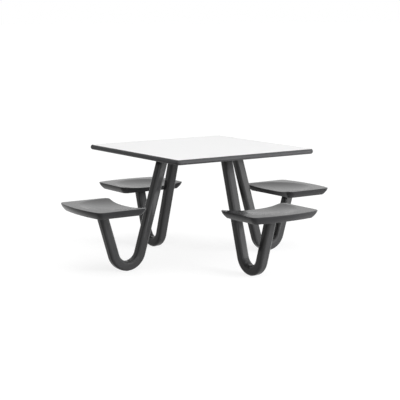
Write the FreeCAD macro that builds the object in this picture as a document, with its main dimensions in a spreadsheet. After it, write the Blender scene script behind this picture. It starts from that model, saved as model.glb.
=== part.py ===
import FreeCAD, Part
import math
import os

import Sketcher

# A square table on four V-shaped legs of bent tube, with a swivel seat on the outer arm of each leg.
# Millimetres, +Z up. The origin is on the floor, under the middle of the top, and each leg stands
# in the vertical plane through the middle of one side.

doc = FreeCAD.newDocument("TableWithSwivelSeats")
sheet = doc.addObject("Spreadsheet::Sheet", "Sizes")

# Each row is an alias, its value and what it measures.
drivingSizes = [
    ("topHeight", 762.0, "floor to the top of the table"),
    ("topSide", 1067.0, "side of the square top, over its edge moulding"),
    ("topThick", 31.0, "laminate, core and backer together"),
    ("topCornerRadius", 25.0, "plan radius of the top's corners"),
    ("laminateThick", 1.2, "laminate on the top face"),
    ("backerThick", 1.0, "backer sheet on the underside"),
    ("edgeReach", 12.0, "how far the edge moulding stands out from the core"),
    ("edgeLand", 3.0, "flat top of the edge moulding before its nose"),
    ("barbThick", 3.0, "thickness of the moulding's barb"),
    ("barbReach", 9.0, "depth of the barb in the core"),
    ("barbPlay", 0.2, "room round the barb in its groove"),
    ("tubeSide", 63.5, "outside width of the square leg tube"),
    ("tubeWall", 3.0, "wall of the leg tube"),
    ("tubeRadius", 19.0, "outside corner radius of the leg tube"),
    ("legLean", 16.7, "lean of both arms from the vertical, in degrees"),
    ("bendRadius", 101.6, "centre-line radius of the bend at the floor"),
    ("footRadius", 572.0, "middle of the table to the middle of the bend"),
    ("topPlateLength", 176.0, "top plate, along the leg's plane"),
    ("topPlateWidth", 150.0, "top plate, across the leg's plane"),
    ("topPlateThick", 6.0, "thickness of the top plate"),
    ("topPlateRadius", 14.0, "corner radius of the top plate"),
    ("topScrewAlong", 70.0, "outer screws of the top plate, from its middle, along it"),
    ("topScrewAcross", 58.0, "screws of the top plate, from its middle, across it"),
    ("topScrewSize", 8.0, "shank of the top plate screws"),
    ("topScrewLength", 24.0, "shank length of the top plate screws"),
    ("topScrewHead", 14.0, "head diameter of the top plate screws"),
    ("topScrewHeadThick", 4.4, "head thickness of the top plate screws"),
    ("topInsertSize", 12.0, "outside of the threaded inserts in the core"),
    ("topInsertLength", 20.0, "length of the threaded inserts in the core"),
    ("endPlateLength", 66.0, "plate on the arm's end, along the leg's plane"),
    ("endPlateWidth", 64.0, "plate on the arm's end, across the leg's plane"),
    ("endPlateThick", 6.0, "thickness of the plate on the arm's end"),
    ("housingOuter", 32.0, "outside of the bearing housing"),
    ("housingInner", 27.0, "bore of the bearing housing"),
    ("housingDepth", 42.0, "length of the bearing housing"),
    ("bushLength", 16.0, "length of each bush"),
    ("washerOuter", 54.0, "outside of the thrust washer"),
    ("washerThick", 3.0, "thickness of the thrust washer"),
    ("spindleSize", 22.0, "diameter of the spindle"),
    ("hubSize", 56.0, "diameter of the hub at the spindle's head"),
    ("runningFit", 0.06, "radial clearance of the spindle in what it turns in"),
    ("seatedFit", 0.05, "clearance between pieces that are pressed or welded together"),
    ("turningGap", 0.3, "gap between faces that turn past each other"),
    ("ringThick", 1.5, "thickness of the retaining ring"),
    ("ringOuter", 29.0, "outside of the retaining ring and its washer"),
    ("ringGroove", 20.0, "diameter of the spindle at the ring's groove"),
    ("retainerThick", 2.0, "washer above the retaining ring"),
    ("spindleTip", 4.0, "spindle below the retaining ring"),
    ("seatHeight", 440.5, "floor to the seat's rim"),
    ("seatGap", 9.0, "seat's lower edge to the plate on the arm's end"),
    ("seatWidth", 509.0, "seat's rim, across the leg's plane"),
    ("seatFrontReach", 195.0, "swivel axis to the corners of the rim on the table's side"),
    ("seatBackReach", 159.0, "swivel axis to the rim's outer corners"),
    ("rimFrontRise", 28.5, "how far the rim bows in between its corners on the table's side"),
    ("rimBackRise", 33.0, "how far the rim bows out between its outer corners"),
    ("rimCorner", 38.0, "corner radius of the rim"),
    ("shellDepth", 46.5, "rim to the lower edge of the seat's wall"),
    ("sideSlope", 30.0, "how far the side walls lean in, rim to lower edge"),
    ("frontSlope", 31.0, "how far the wall on the table's side leans in"),
    ("backSlope", 18.5, "how far the outer wall leans in"),
    ("middleShare", 0.31, "share of that lean which the walls have half way down"),
    ("footFrontRise", 3.0, "bow of the lower edge on the table's side"),
    ("footBackRise", 21.0, "bow of the lower edge on the outer side"),
    ("footCorner", 30.0, "corner radius of the lower edge"),
    ("sideLand", 26.0, "flat land between the dish and the sides"),
    ("backLand", 35.0, "flat land between the dish and the outer edge"),
    ("dishFront", 16.0, "depth of the dish at the edge on the table's side"),
    ("dishDeep", 19.5, "depth of the dish where it is deepest"),
    ("dishAxis", 16.5, "depth of the dish over the swivel axis"),
    ("dishBack", 7.0, "depth of the dish half way to the outer edge"),
    ("dishEnd", 0.4, "depth of the dish where it runs out"),
    ("hollowHeight", 17.0, "height of the hollow under the seat"),
    ("shellWall", 6.0, "wall of the seat round its hollow"),
    ("ribThick", 5.0, "thickness of the ribs under the seat"),
    ("ribDepth", 13.0, "depth of the ribs under the seat"),
    ("ribAlong", 92.0, "ribs across the seat, from the swivel axis"),
    ("ribAcross", 112.0, "ribs along the seat, from the swivel axis"),
    ("seatPlateLength", 150.0, "seat plate, along the leg's plane"),
    ("seatPlateWidth", 180.0, "seat plate, across the leg's plane"),
    ("seatPlateThick", 5.0, "thickness of the seat plate"),
    ("seatPlateRadius", 12.0, "corner radius of the seat plate"),
    ("seatScrewAlong", 58.0, "seat screws, from the swivel axis, along the leg's plane"),
    ("seatScrewAcross", 72.0, "seat screws, from the swivel axis, across it"),
    ("seatScrewSize", 6.0, "shank of the seat screws"),
    ("seatScrewLength", 14.0, "shank length of the seat screws"),
    ("seatScrewHead", 11.0, "head diameter of the seat screws"),
    ("seatScrewHeadThick", 3.3, "head thickness of the seat screws"),
    ("seatInsertSize", 9.0, "outside of the threaded inserts in the seat"),
    ("seatInsertLength", 10.0, "length of the threaded inserts in the seat"),
    ("screwPlay", 1.0, "clearance holes over the screws' shanks"),
    ("threadPlay", 0.1, "room between a screw and its insert"),
    ("socketShare", 0.5, "drive recess over the screw head, in width and depth"),
    ("glideHead", 1.5, "glide under the bend's lowest point"),
    ("glideSize", 28.0, "diameter of the glide"),
    ("glideStem", 8.0, "diameter of the glide's stem"),
    ("glideStemLength", 14.0, "floor to the top of the glide's stem"),
]

derivedSizes = [
    ("coreSide", "=topSide - 2 * edgeReach", "side of the core"),
    ("coreHalf", "=coreSide / 2", "half the core"),
    ("coreRadius", "=topCornerRadius - edgeReach", "corner radius of the core"),
    ("coreThick", "=topThick - laminateThick - backerThick", "thickness of the core"),
    ("undersideZ", "=topHeight - topThick", "underside of the top"),
    ("coreBaseZ", "=undersideZ + backerThick", "underside of the core"),
    ("laminateBaseZ", "=topHeight - laminateThick", "underside of the laminate"),
    ("noseStart", "=coreHalf + edgeLand", "where the moulding's nose starts"),
    ("noseRadius", "=((topThick / 2)^2 + (edgeReach - edgeLand)^2) / (2 * (edgeReach - edgeLand))",
     "radius of the moulding's nose"),
    ("topMiddleZ", "=undersideZ + topThick / 2", "mid-thickness of the top"),
    ("barbTopZ", "=topMiddleZ + barbThick / 2", "top of the barb"),
    ("barbBaseZ", "=topMiddleZ - barbThick / 2", "underside of the barb"),
    ("barbEnd", "=coreHalf - barbReach", "inner end of the barb"),
    ("grooveTopZ", "=barbTopZ + barbPlay", "top of the barb's groove"),
    ("grooveBaseZ", "=barbBaseZ - barbPlay", "floor of the barb's groove"),
    ("grooveEnd", "=barbEnd - barbPlay", "inner end of the barb's groove"),
    ("grooveMouth", "=coreHalf + edgeReach", "outside the groove's mouth"),
    ("plateBaseZ", "=undersideZ - topPlateThick", "underside of the top plates"),
    ("boreSide", "=tubeSide - 2 * tubeWall", "inside width of the leg tube"),
    ("boreRadius", "=tubeRadius - tubeWall", "inside corner radius of the leg tube"),
    ("bendBottomZ", "=glideHead + tubeSide / 2", "lowest point of the tube's centre line"),
    ("bendCentreZ", "=bendBottomZ + bendRadius", "centre of the bend"),
    ("bendOuterRadius", "=bendRadius + tubeSide / 2 + seatedFit", "outside of the bend, at the glide"),
    ("tangentZ", "=bendCentreZ - bendRadius * sin(legLean)", "height where the bend meets the arms"),
    ("outerTangentX", "=footRadius + bendRadius * cos(legLean)", "where the outer arm starts"),
    ("innerTangentX", "=footRadius - bendRadius * cos(legLean)", "where the inner arm starts"),
    ("shellBaseZ", "=seatHeight - shellDepth", "lower edge of the seat"),
    ("hollowTopZ", "=shellBaseZ + hollowHeight", "roof of the hollow under the seat"),
    ("seatPlateBaseZ", "=hollowTopZ - seatPlateThick", "underside of the seat plate"),
    ("endPlateTopZ", "=shellBaseZ - seatGap", "top of the plate on the arm's end"),
    ("endPlateBaseZ", "=endPlateTopZ - endPlateThick", "end of the outer arm"),
    ("outerTopX", "=outerTangentX + (endPlateBaseZ - tangentZ) * tan(legLean)", "swivel axis"),
    ("innerTopX", "=innerTangentX - (plateBaseZ - tangentZ) * tan(legLean)", "middle of the top plate"),
    ("outerPathZ", "=endPlateBaseZ + tubeSide", "end of the outer arm's path"),
    ("outerPathX", "=outerTangentX + (outerPathZ - tangentZ) * tan(legLean)", "end of that path"),
    ("innerPathZ", "=plateBaseZ + tubeSide", "end of the inner arm's path"),
    ("innerPathX", "=innerTangentX - (innerPathZ - tangentZ) * tan(legLean)", "end of that path"),
    ("outerTrimX", "=outerPathX + tubeSide", "outside the outer arm's end"),
    ("innerTrimX", "=innerPathX - tubeSide", "inside the inner arm's end"),
    ("trimReach", "=2 * tubeSide", "how far a trimming cut reaches"),
    ("glideBlank", "=2 * glideHead", "glide before its saddle is cut"),
    ("glideHole", "=glideStem + 2 * seatedFit", "hole for the glide's stem"),
    ("glideHoleDepth", "=glideHead + 2 * tubeWall", "floor to the end of that hole"),
    ("screwNearX", "=innerTopX - topScrewAlong", "inner screws of the top plate"),
    ("screwFarX", "=innerTopX + topScrewAlong", "outer screws of the top plate"),
    ("topScrewHole", "=topScrewSize + screwPlay", "screw holes in the top plate"),
    ("topInsertHole", "=topInsertSize + 2 * seatedFit", "holes for the inserts in the core"),
    ("topInsertBore", "=topScrewSize + 2 * threadPlay", "bore of the inserts in the core"),
    ("topInsertHoleDepth", "=topInsertLength + topScrewSize / 2", "depth of those holes"),
    ("topScrewSocket", "=topScrewHead * socketShare", "drive recess of the top screws"),
    ("topScrewSocketDepth", "=topScrewHeadThick * socketShare", "depth of that recess"),
    ("topScrewSocketZ", "=plateBaseZ - topScrewHeadThick", "underside of the top screws"),
    ("endPlateHole", "=housingOuter + 2 * seatedFit", "hole for the housing"),
    ("endPlateRadius", "=tubeRadius", "corner radius of the plate on the arm's end"),
    ("housingBaseZ", "=endPlateTopZ - housingDepth", "lower end of the housing"),
    ("bushOuter", "=housingInner - 2 * seatedFit", "outside of the bushes"),
    ("bushInner", "=spindleSize + 2 * runningFit", "bore of the bushes"),
    ("bushRise", "=housingDepth - bushLength", "lower end of the upper bush over the lower one's"),
    ("hubHeight", "=seatPlateBaseZ - endPlateTopZ - washerThick", "height of the spindle's hub"),
    ("housingDrop", "=washerThick + housingDepth", "hub's underside to the housing's lower end"),
    ("retainerDrop", "=housingDrop + turningGap", "hub's underside to the retaining washer"),
    ("ringDrop", "=retainerDrop + retainerThick", "hub's underside to the retaining ring"),
    ("ringEndDrop", "=ringDrop + ringThick", "hub's underside to the lower side of the groove"),
    ("spindleDrop", "=ringEndDrop + spindleTip", "hub's underside to the spindle's end"),
    ("spindleHalf", "=spindleSize / 2", "radius of the spindle"),
    ("hubHalf", "=hubSize / 2", "radius of the hub"),
    ("grooveHalf", "=ringGroove / 2", "radius of the spindle at its groove"),
    ("retainerBore", "=spindleSize + 2 * runningFit", "bore of the retaining washer"),
    ("ringBore", "=ringGroove + 2 * seatedFit", "bore of the retaining ring"),
    ("ringBody", "=ringThick - 2 * seatedFit", "ring between the groove's sides"),
    ("hubBaseZ", "=endPlateTopZ + washerThick", "underside of the hub"),
    ("retainerTopZ", "=hubBaseZ - retainerDrop", "top of the retaining washer"),
    ("ringTopZ", "=hubBaseZ - ringDrop - seatedFit", "top of the retaining ring"),
    ("rimHalf", "=seatWidth / 2", "half the rim"),
    ("rimFront", "=seatFrontReach", "its corners on the table's side, from the swivel axis"),
    ("rimBack", "=seatBackReach", "its outer corners"),
    ("middleHalf", "=rimHalf - sideSlope * middleShare", "half the wall's outline half way down"),
    ("middleFront", "=rimFront - frontSlope * middleShare", "its corners on the table's side"),
    ("middleBack", "=rimBack - backSlope * middleShare", "its outer corners"),
    ("middleFrontRise", "=rimFrontRise + (footFrontRise - rimFrontRise) * middleShare", "its bow inwards"),
    ("middleBackRise", "=rimBackRise + (footBackRise - rimBackRise) * middleShare", "its bow outwards"),
    ("middleCorner", "=rimCorner + (footCorner - rimCorner) * middleShare", "its corner radius"),
    ("middleHeight", "=shellDepth / 2", "its height over the lower edge"),
    ("footHalf", "=rimHalf - sideSlope", "half the lower edge"),
    ("footFront", "=rimFront - frontSlope", "its corners on the table's side"),
    ("footBack", "=rimBack - backSlope", "its outer corners"),
]

for level in ("rim", "middle", "foot"):
    half = level + "Half"
    for end, place in (("Front", "the table's side"), ("Back", "the outer side")):
        reach, rise, bow = level + end, level + end + "Rise", level + end + "Bow"
        derivedSizes.append((bow, f"=({half}^2 + {rise}^2) / (2 * {rise})", f"radius of the {level}'s bow, {place}"))
        centre = f"={reach} - {rise} + {bow}" if end == "Front" else f"={reach} + {rise} - {bow}"
        derivedSizes.append((bow + "Centre", centre, "its centre from the swivel axis"))

derivedSizes += [
    ("hollowShare", "=hollowHeight / shellDepth", "hollow's height over the wall's"),
    ("mouthHalf", "=footHalf - shellWall", "half the hollow's mouth"),
    ("mouthCorner", "=footCorner - shellWall", "corner radius of the mouth"),
    ("mouthFrontBow", "=footFrontBow + shellWall", "radius of the mouth's bow, the table's side"),
    ("mouthFrontBowCentre", "=footFrontBowCentre", "its centre from the swivel axis"),
    ("mouthBackBow", "=footBackBow - shellWall", "radius of the mouth's bow, the outer side"),
    ("mouthBackBowCentre", "=footBackBowCentre", "its centre from the swivel axis"),
    ("roofHalf", "=mouthHalf + sideSlope * hollowShare", "half the hollow's roof"),
    ("roofCorner", "=mouthCorner", "corner radius of the roof"),
    ("roofFrontBow", "=mouthFrontBow", "radius of the roof's bow, the table's side"),
    ("roofFrontBowCentre", "=mouthFrontBowCentre + frontSlope * hollowShare", "its centre from the swivel axis"),
    ("roofBackBow", "=mouthBackBow", "radius of the roof's bow, the outer side"),
    ("roofBackBowCentre", "=mouthBackBowCentre + backSlope * hollowShare", "its centre from the swivel axis"),
    ("dishHalf", "=rimHalf - sideLand", "half the dish"),
    ("dishStart", "=seatFrontReach + sideLand", "dish starts outside the rim, the table's side"),
    ("dishDeepest", "=seatFrontReach / 2", "where the dish is deepest, the table's side"),
    ("dishTurn", "=seatBackReach / 2", "section half way to the outer edge"),
    ("dishStop", "=seatBackReach + rimBackRise - backLand", "dish runs out here"),
    ("dishTop", "=dishDeep", "height of the cut above the rim"),
    ("ribHalf", "=footHalf - shellWall / 2", "half length of the ribs across the seat"),
    ("ribFront", "=footFront - footFrontRise - shellWall / 2", "ribs along the seat, the table's side"),
    ("ribAlongEnd", "=ribAlong + ribThick", "far side of the ribs across the seat"),
    ("ribAcrossEnd", "=ribAcross + ribThick", "far side of the ribs along the seat"),
    ("ribBack", "=footBackBowCentre + sqrt(footBackBow^2 - ribAcrossEnd^2) - shellWall / 2",
     "ribs along the seat, the outer side"),
    ("seatPlateHole", "=seatScrewSize + screwPlay", "screw holes in the seat plate"),
    ("seatInsertHole", "=seatInsertSize + 2 * seatedFit", "holes for the inserts in the seat"),
    ("seatInsertBore", "=seatScrewSize + 2 * threadPlay", "bore of the inserts in the seat"),
    ("seatScrewSocket", "=seatScrewHead * socketShare", "drive recess of the seat screws"),
    ("seatScrewSocketDepth", "=seatScrewHeadThick * socketShare", "depth of that recess"),
]

# Every leg is drawn in its own plane with +X away from the middle, then turned to its side.
sides = {"right": (1, 0, 0.0), "back": (0, 1, 90.0), "left": (-1, 0, 180.0), "front": (0, -1, 270.0)}


def fillSheet():
    for row, (alias, value, note) in enumerate(drivingSizes + derivedSizes, start=1):
        sheet.set(f"A{row}", note)
        sheet.set(f"B{row}", str(value))
        sheet.setAlias(f"B{row}", alias)
    doc.recompute()


def size(token):
    """Value of an alias, of an alias with a minus sign, or of 0."""
    if token == "0":
        return 0.0
    if token.startswith("-"):
        return -float(sheet.get(token[1:]))
    return float(sheet.get(token))


def cell(token):
    """The same token as an expression on the sheet."""
    if token.startswith("-"):
        return "-Sizes." + token[1:]
    return "Sizes." + token


def newBody(label):
    body = doc.addObject("PartDesign::Body", label)
    body.Label = label
    body.AllowCompound = True
    return body


def newSketch(body, name, planeRole, offset="0"):
    plane = next(item for item in body.Origin.OriginFeatures if item.Role == planeRole)
    sketch = body.newObject("Sketcher::SketchObject", name)
    sketch.AttachmentSupport = [(plane, "")]
    sketch.MapMode = "FlatFace"
    if offset != "0":
        sketch.setExpression(".AttachmentOffset.Base.z", cell(offset))
    return sketch


def dimension(sketch, kind, references, token):
    index = sketch.addConstraint(Sketcher.Constraint(kind, *references, size(token)))
    sketch.setExpression(f"Constraints[{index}]", cell(token))


def pin(sketch, geometry, point, xToken, yToken):
    """Hold one point of the sketch at its two coordinates."""
    for kind, axis, token in (("DistanceX", -2, xToken), ("DistanceY", -1, yToken)):
        if token == "0":
            sketch.addConstraint(Sketcher.Constraint("PointOnObject", geometry, point, axis))
        else:
            dimension(sketch, kind, (-1, 1, geometry, point), token)


def polygon(sketch, corners):
    """Closed outline of straight lines through the corners, each held at its coordinates."""
    points = [FreeCAD.Vector(size(x), size(y), 0) for x, y in corners]
    count = len(points)
    lines = []
    for number in range(count):
        lines.append(sketch.addGeometry(Part.LineSegment(points[number], points[(number + 1) % count])))
    for number, (x, y) in enumerate(corners):
        sketch.addConstraint(Sketcher.Constraint("Coincident", lines[number - 1], 2, lines[number], 1))
        pin(sketch, lines[number], 1, x, y)


def arcBetween(sketch, centre, radius, first, last):
    circle = Part.Circle(FreeCAD.Vector(*centre, 0), FreeCAD.Vector(0, 0, 1), radius)
    return sketch.addGeometry(Part.ArcOfCircle(circle, first, last))


def bowedOutline(sketch, level):
    """Outline of the seat at one level, about the X axis, with round corners.

    The sides are straight, the outer edge bows out, and the edge on the table's side bows in.
    """
    half, corner = size(level + "Half"), size(level + "Corner")
    frontBow, frontCentre = size(level + "FrontBow"), -size(level + "FrontBowCentre")
    backBow, backCentre = size(level + "BackBow"), size(level + "BackBowCentre")
    flat = half - corner
    # the corners touch the front bow from outside its circle and the back bow from inside
    frontReach = math.sqrt((frontBow + corner) ** 2 - flat ** 2)
    backReach = math.sqrt((backBow - corner) ** 2 - flat ** 2)
    frontSwing = math.atan2(flat, frontReach)
    backSwing = math.atan2(flat, backReach)
    frontX = frontCentre + frontReach
    backX = backCentre + backReach
    quarter = math.pi / 2
    lines = [sketch.addGeometry(Part.LineSegment(FreeCAD.Vector(*start, 0), FreeCAD.Vector(*end, 0)))
             for start, end in (((backX, half), (frontX, half)), ((frontX, -half), (backX, -half)))]
    corners = [arcBetween(sketch, (frontX, flat), corner, quarter, 2 * quarter + frontSwing),
               arcBetween(sketch, (frontX, -flat), corner, 2 * quarter - frontSwing, 3 * quarter),
               arcBetween(sketch, (backX, -flat), corner, -quarter, -backSwing),
               arcBetween(sketch, (backX, flat), corner, backSwing, quarter)]
    front = arcBetween(sketch, (frontCentre, 0), frontBow, -frontSwing, frontSwing)
    back = arcBetween(sketch, (backCentre, 0), backBow, -backSwing, backSwing)
    # each piece with the point where the outline enters it and the one where it leaves
    ring = [(lines[0], 1, 2), (corners[0], 1, 2), (front, 2, 1), (corners[1], 1, 2),
            (lines[1], 1, 2), (corners[2], 1, 2), (back, 1, 2), (corners[3], 1, 2)]
    for number, (piece, entry, _) in enumerate(ring):
        before, _, leave = ring[number - 1]
        sketch.addConstraint(Sketcher.Constraint("Tangent", before, leave, piece, entry))
    for line, token in zip(lines, (level + "Half", "-" + level + "Half")):
        sketch.addConstraint(Sketcher.Constraint("Horizontal", line))
        dimension(sketch, "DistanceY", (-1, 1, line, 1), token)
    for arc in corners[1:]:
        sketch.addConstraint(Sketcher.Constraint("Equal", corners[0], arc))
    dimension(sketch, "Radius", (corners[0],), level + "Corner")
    dimension(sketch, "Radius", (front,), level + "FrontBow")
    pin(sketch, front, 3, "-" + level + "FrontBowCentre", "0")
    dimension(sketch, "Radius", (back,), level + "BackBow")
    pin(sketch, back, 3, level + "BackBowCentre", "0")


def roundedRectangle(sketch, length, width, radius):
    """Rectangle with round corners, centred on the sketch's origin."""
    halfLength, halfWidth, corner = size(length) / 2, size(width) / 2, size(radius)
    flatX, flatY = halfLength - corner, halfWidth - corner
    ends = [((-flatX, -halfWidth), (flatX, -halfWidth)), ((halfLength, -flatY), (halfLength, flatY)),
            ((flatX, halfWidth), (-flatX, halfWidth)), ((-halfLength, flatY), (-halfLength, -flatY))]
    lines = [sketch.addGeometry(Part.LineSegment(FreeCAD.Vector(*start, 0), FreeCAD.Vector(*end, 0)))
             for start, end in ends]
    centres = [(flatX, -flatY), (flatX, flatY), (-flatX, flatY), (-flatX, -flatY)]
    quarter = math.pi / 2
    arcs = [arcBetween(sketch, centre, corner, (number - 1) * quarter, number * quarter)
            for number, centre in enumerate(centres)]
    for number in range(4):
        following = lines[(number + 1) % 4]
        sketch.addConstraint(Sketcher.Constraint("Tangent", lines[number], 2, arcs[number], 1))
        sketch.addConstraint(Sketcher.Constraint("Tangent", arcs[number], 2, following, 1))
        direction = "Horizontal" if number % 2 == 0 else "Vertical"
        sketch.addConstraint(Sketcher.Constraint(direction, lines[number]))
    for arc in arcs[1:]:
        sketch.addConstraint(Sketcher.Constraint("Equal", arcs[0], arc))
    sketch.addConstraint(Sketcher.Constraint("Symmetric", lines[0], 1, lines[2], 1, -1, 1))
    dimension(sketch, "Radius", (arcs[0],), radius)
    dimension(sketch, "DistanceX", (lines[3], 1, lines[1], 1), length)
    dimension(sketch, "DistanceY", (lines[0], 1, lines[2], 1), width)


def circles(sketch, places, *diameters):
    """A circle of each diameter at each place."""
    for x, y in places:
        for diameter in diameters:
            shape = Part.Circle(FreeCAD.Vector(size(x), size(y), 0), FreeCAD.Vector(0, 0, 1), size(diameter) / 2)
            circle = sketch.addGeometry(shape)
            pin(sketch, circle, 3, x, y)
            dimension(sketch, "Diameter", (circle,), diameter)


def pad(body, name, sketch, length, downwards=False):
    feature = body.newObject("PartDesign::Pad", name)
    feature.Profile = sketch
    feature.setExpression("Length", cell(length))
    feature.Reversed = downwards
    return feature


def pocket(body, name, sketch, depth, upwards=False, bothWays=False):
    feature = body.newObject("PartDesign::Pocket", name)
    feature.Profile = sketch
    feature.setExpression("Length", cell(depth))
    feature.Reversed = upwards
    feature.Midplane = bothWays
    return feature


def place(body, side="right", x="0", z="0"):
    """Set a body in its leg's plane and turn it to its side of the table."""
    alongX, alongY, angle = sides[side]
    body.Placement = FreeCAD.Placement(FreeCAD.Vector(0, 0, 0), FreeCAD.Rotation(FreeCAD.Vector(0, 0, 1), angle))
    if x != "0":
        body.setExpression(".Placement.Base.x", f"{alongX} * {cell(x)}")
        body.setExpression(".Placement.Base.y", f"{alongY} * {cell(x)}")
    if z != "0":
        body.setExpression(".Placement.Base.z", cell(z))


def mirrored(x, y):
    """The four places (+-x, +-y)."""
    return [(x, y), ("-" + x, y), (x, "-" + y), ("-" + x, "-" + y)]


def topScrewPlaces():
    """Six screws of one top plate, in the frame of the whole table."""
    return [(x, y) for x in ("screwNearX", "innerTopX", "screwFarX") for y in ("topScrewAcross", "-topScrewAcross")]


def plateScrewPlaces():
    """The same six screws, from the middle of the plate."""
    return mirrored("topScrewAlong", "topScrewAcross") + [("0", "topScrewAcross"), ("0", "-topScrewAcross")]


def fourTimes(body, name, features):
    """Repeat features round the table's middle, once for each leg."""
    pattern = body.newObject("PartDesign::PolarPattern", name)
    pattern.Originals = features
    upright = next(item for item in body.Origin.OriginFeatures if item.Role == "Z_Axis")
    pattern.Axis = (upright, [""])
    pattern.Angle = 360.0
    pattern.Occurrences = len(sides)
    body.Tip = pattern


def edgePath(body):
    """Line of the core's edge, which the moulding and its groove follow."""
    path = newSketch(body, "EdgePath", "XY_Plane", "topMiddleZ")
    roundedRectangle(path, "coreSide", "coreSide", "coreRadius")
    return path


def sweep(body, kind, name, profile, path):
    feature = body.newObject(f"PartDesign::{kind}Pipe", name)
    feature.Profile = profile
    feature.Spine = path
    return feature


def loft(body, kind, name, sections):
    feature = body.newObject(f"PartDesign::{kind}Loft", name)
    feature.Profile = sections[0]
    feature.Sections = sections[1:]
    feature.Ruled = len(sections) == 2
    return feature


def makeTopCore():
    body = newBody("top_core")
    outline = newSketch(body, "CoreOutline", "XY_Plane", "coreBaseZ")
    roundedRectangle(outline, "coreSide", "coreSide", "coreRadius")
    pad(body, "CorePad", outline, "coreThick")
    groove = newSketch(body, "GrooveProfile", "XZ_Plane")
    polygon(groove, [("grooveEnd", "grooveBaseZ"), ("grooveMouth", "grooveBaseZ"),
                     ("grooveMouth", "grooveTopZ"), ("grooveEnd", "grooveTopZ")])
    sweep(body, "Subtractive", "EdgeGroove", groove, edgePath(body))
    holes = newSketch(body, "InsertHoles", "XY_Plane", "coreBaseZ")
    circles(holes, topScrewPlaces(), "topInsertHole")
    bores = pocket(body, "InsertBores", holes, "topInsertHoleDepth", upwards=True)
    fourTimes(body, "AllInsertBores", [bores])


def makeLaminate():
    body = newBody("top_laminate")
    outline = newSketch(body, "LaminateOutline", "XY_Plane", "laminateBaseZ")
    roundedRectangle(outline, "coreSide", "coreSide", "coreRadius")
    pad(body, "LaminatePad", outline, "laminateThick")


def makeBacker():
    body = newBody("top_backer")
    outline = newSketch(body, "BackerOutline", "XY_Plane", "undersideZ")
    roundedRectangle(outline, "coreSide", "coreSide", "coreRadius")
    pad(body, "BackerPad", outline, "backerThick")
    holes = newSketch(body, "BackerHoles", "XY_Plane", "undersideZ")
    circles(holes, topScrewPlaces(), "topInsertHole")
    bores = pocket(body, "BackerBores", holes, "backerThick", upwards=True)
    fourTimes(body, "AllBackerBores", [bores])


def makeEdgeMoulding():
    body = newBody("edge_moulding")
    profile = newSketch(body, "MouldingProfile", "XZ_Plane")
    corners = [("noseStart", "topHeight"), ("coreHalf", "topHeight"), ("coreHalf", "barbTopZ"),
               ("barbEnd", "barbTopZ"), ("barbEnd", "barbBaseZ"), ("coreHalf", "barbBaseZ"),
               ("coreHalf", "undersideZ"), ("noseStart", "undersideZ")]
    points = [FreeCAD.Vector(size(x), size(z), 0) for x, z in corners]
    lines = [profile.addGeometry(Part.LineSegment(start, end)) for start, end in zip(points, points[1:])]
    nose = FreeCAD.Vector(size("coreHalf") + size("edgeReach"), size("topMiddleZ"), 0)
    arc = profile.addGeometry(Part.Arc(points[-1], nose, points[0]))
    edges = lines + [arc]
    for number, edge in enumerate(edges):
        profile.addConstraint(Sketcher.Constraint("Coincident", edges[number - 1], 2, edge, 1))
        pin(profile, edge, 1, *corners[number])
    dimension(profile, "Radius", (arc,), "noseRadius")
    sweep(body, "Additive", "Moulding", profile, edgePath(body))


def makeTopScrews():
    body = newBody("top_screws")
    heads = newSketch(body, "Heads", "XY_Plane", "plateBaseZ")
    circles(heads, topScrewPlaces(), "topScrewHead")
    shanks = newSketch(body, "Shanks", "XY_Plane", "plateBaseZ")
    circles(shanks, topScrewPlaces(), "topScrewSize")
    sockets = newSketch(body, "Sockets", "XY_Plane", "topScrewSocketZ")
    circles(sockets, topScrewPlaces(), "topScrewSocket")
    features = [pad(body, "HeadPads", heads, "topScrewHeadThick", downwards=True),
                pad(body, "ShankPads", shanks, "topScrewLength"),
                pocket(body, "DriveRecesses", sockets, "topScrewSocketDepth", upwards=True)]
    fourTimes(body, "AllTopScrews", features)


def makeTopInserts():
    body = newBody("top_inserts")
    rings = newSketch(body, "Rings", "XY_Plane", "undersideZ")
    circles(rings, topScrewPlaces(), "topInsertSize", "topInsertBore")
    fourTimes(body, "AllTopInserts", [pad(body, "RingPads", rings, "topInsertLength")])


def armPath(body, name, endX, endZ):
    """Quarter of the bend and one straight arm, from the lowest point of the bend."""
    path = newSketch(body, name, "XZ_Plane")
    centre = FreeCAD.Vector(size("footRadius"), size("bendCentreZ"), 0)
    lowest = FreeCAD.Vector(size("footRadius"), size("bendBottomZ"), 0)
    outwards = size(endX) > size("footRadius")
    tangent = FreeCAD.Vector(size("outerTangentX" if outwards else "innerTangentX"), size("tangentZ"), 0)
    # a point of the bend half way round, from the chord's middle out to the radius
    halfway = (lowest + tangent) * 0.5 - centre
    halfway = centre + halfway.normalize() * size("bendRadius")
    arc = path.addGeometry(Part.Arc(lowest, halfway, tangent))
    line = path.addGeometry(Part.LineSegment(tangent, FreeCAD.Vector(size(endX), size(endZ), 0)))
    # Sketcher arcs run anticlockwise, so the outer arc ends at the arm and the inner one starts there
    armPoint = 2 if outwards else 1
    lowPoint = 1 if outwards else 2
    path.addConstraint(Sketcher.Constraint("Tangent", arc, armPoint, line, 1))
    pin(path, arc, 3, "footRadius", "bendCentreZ")
    dimension(path, "DistanceX", (-1, 1, arc, lowPoint), "footRadius")
    dimension(path, "Radius", (arc,), "bendRadius")
    pin(path, line, 2, endX, endZ)
    return path


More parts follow.
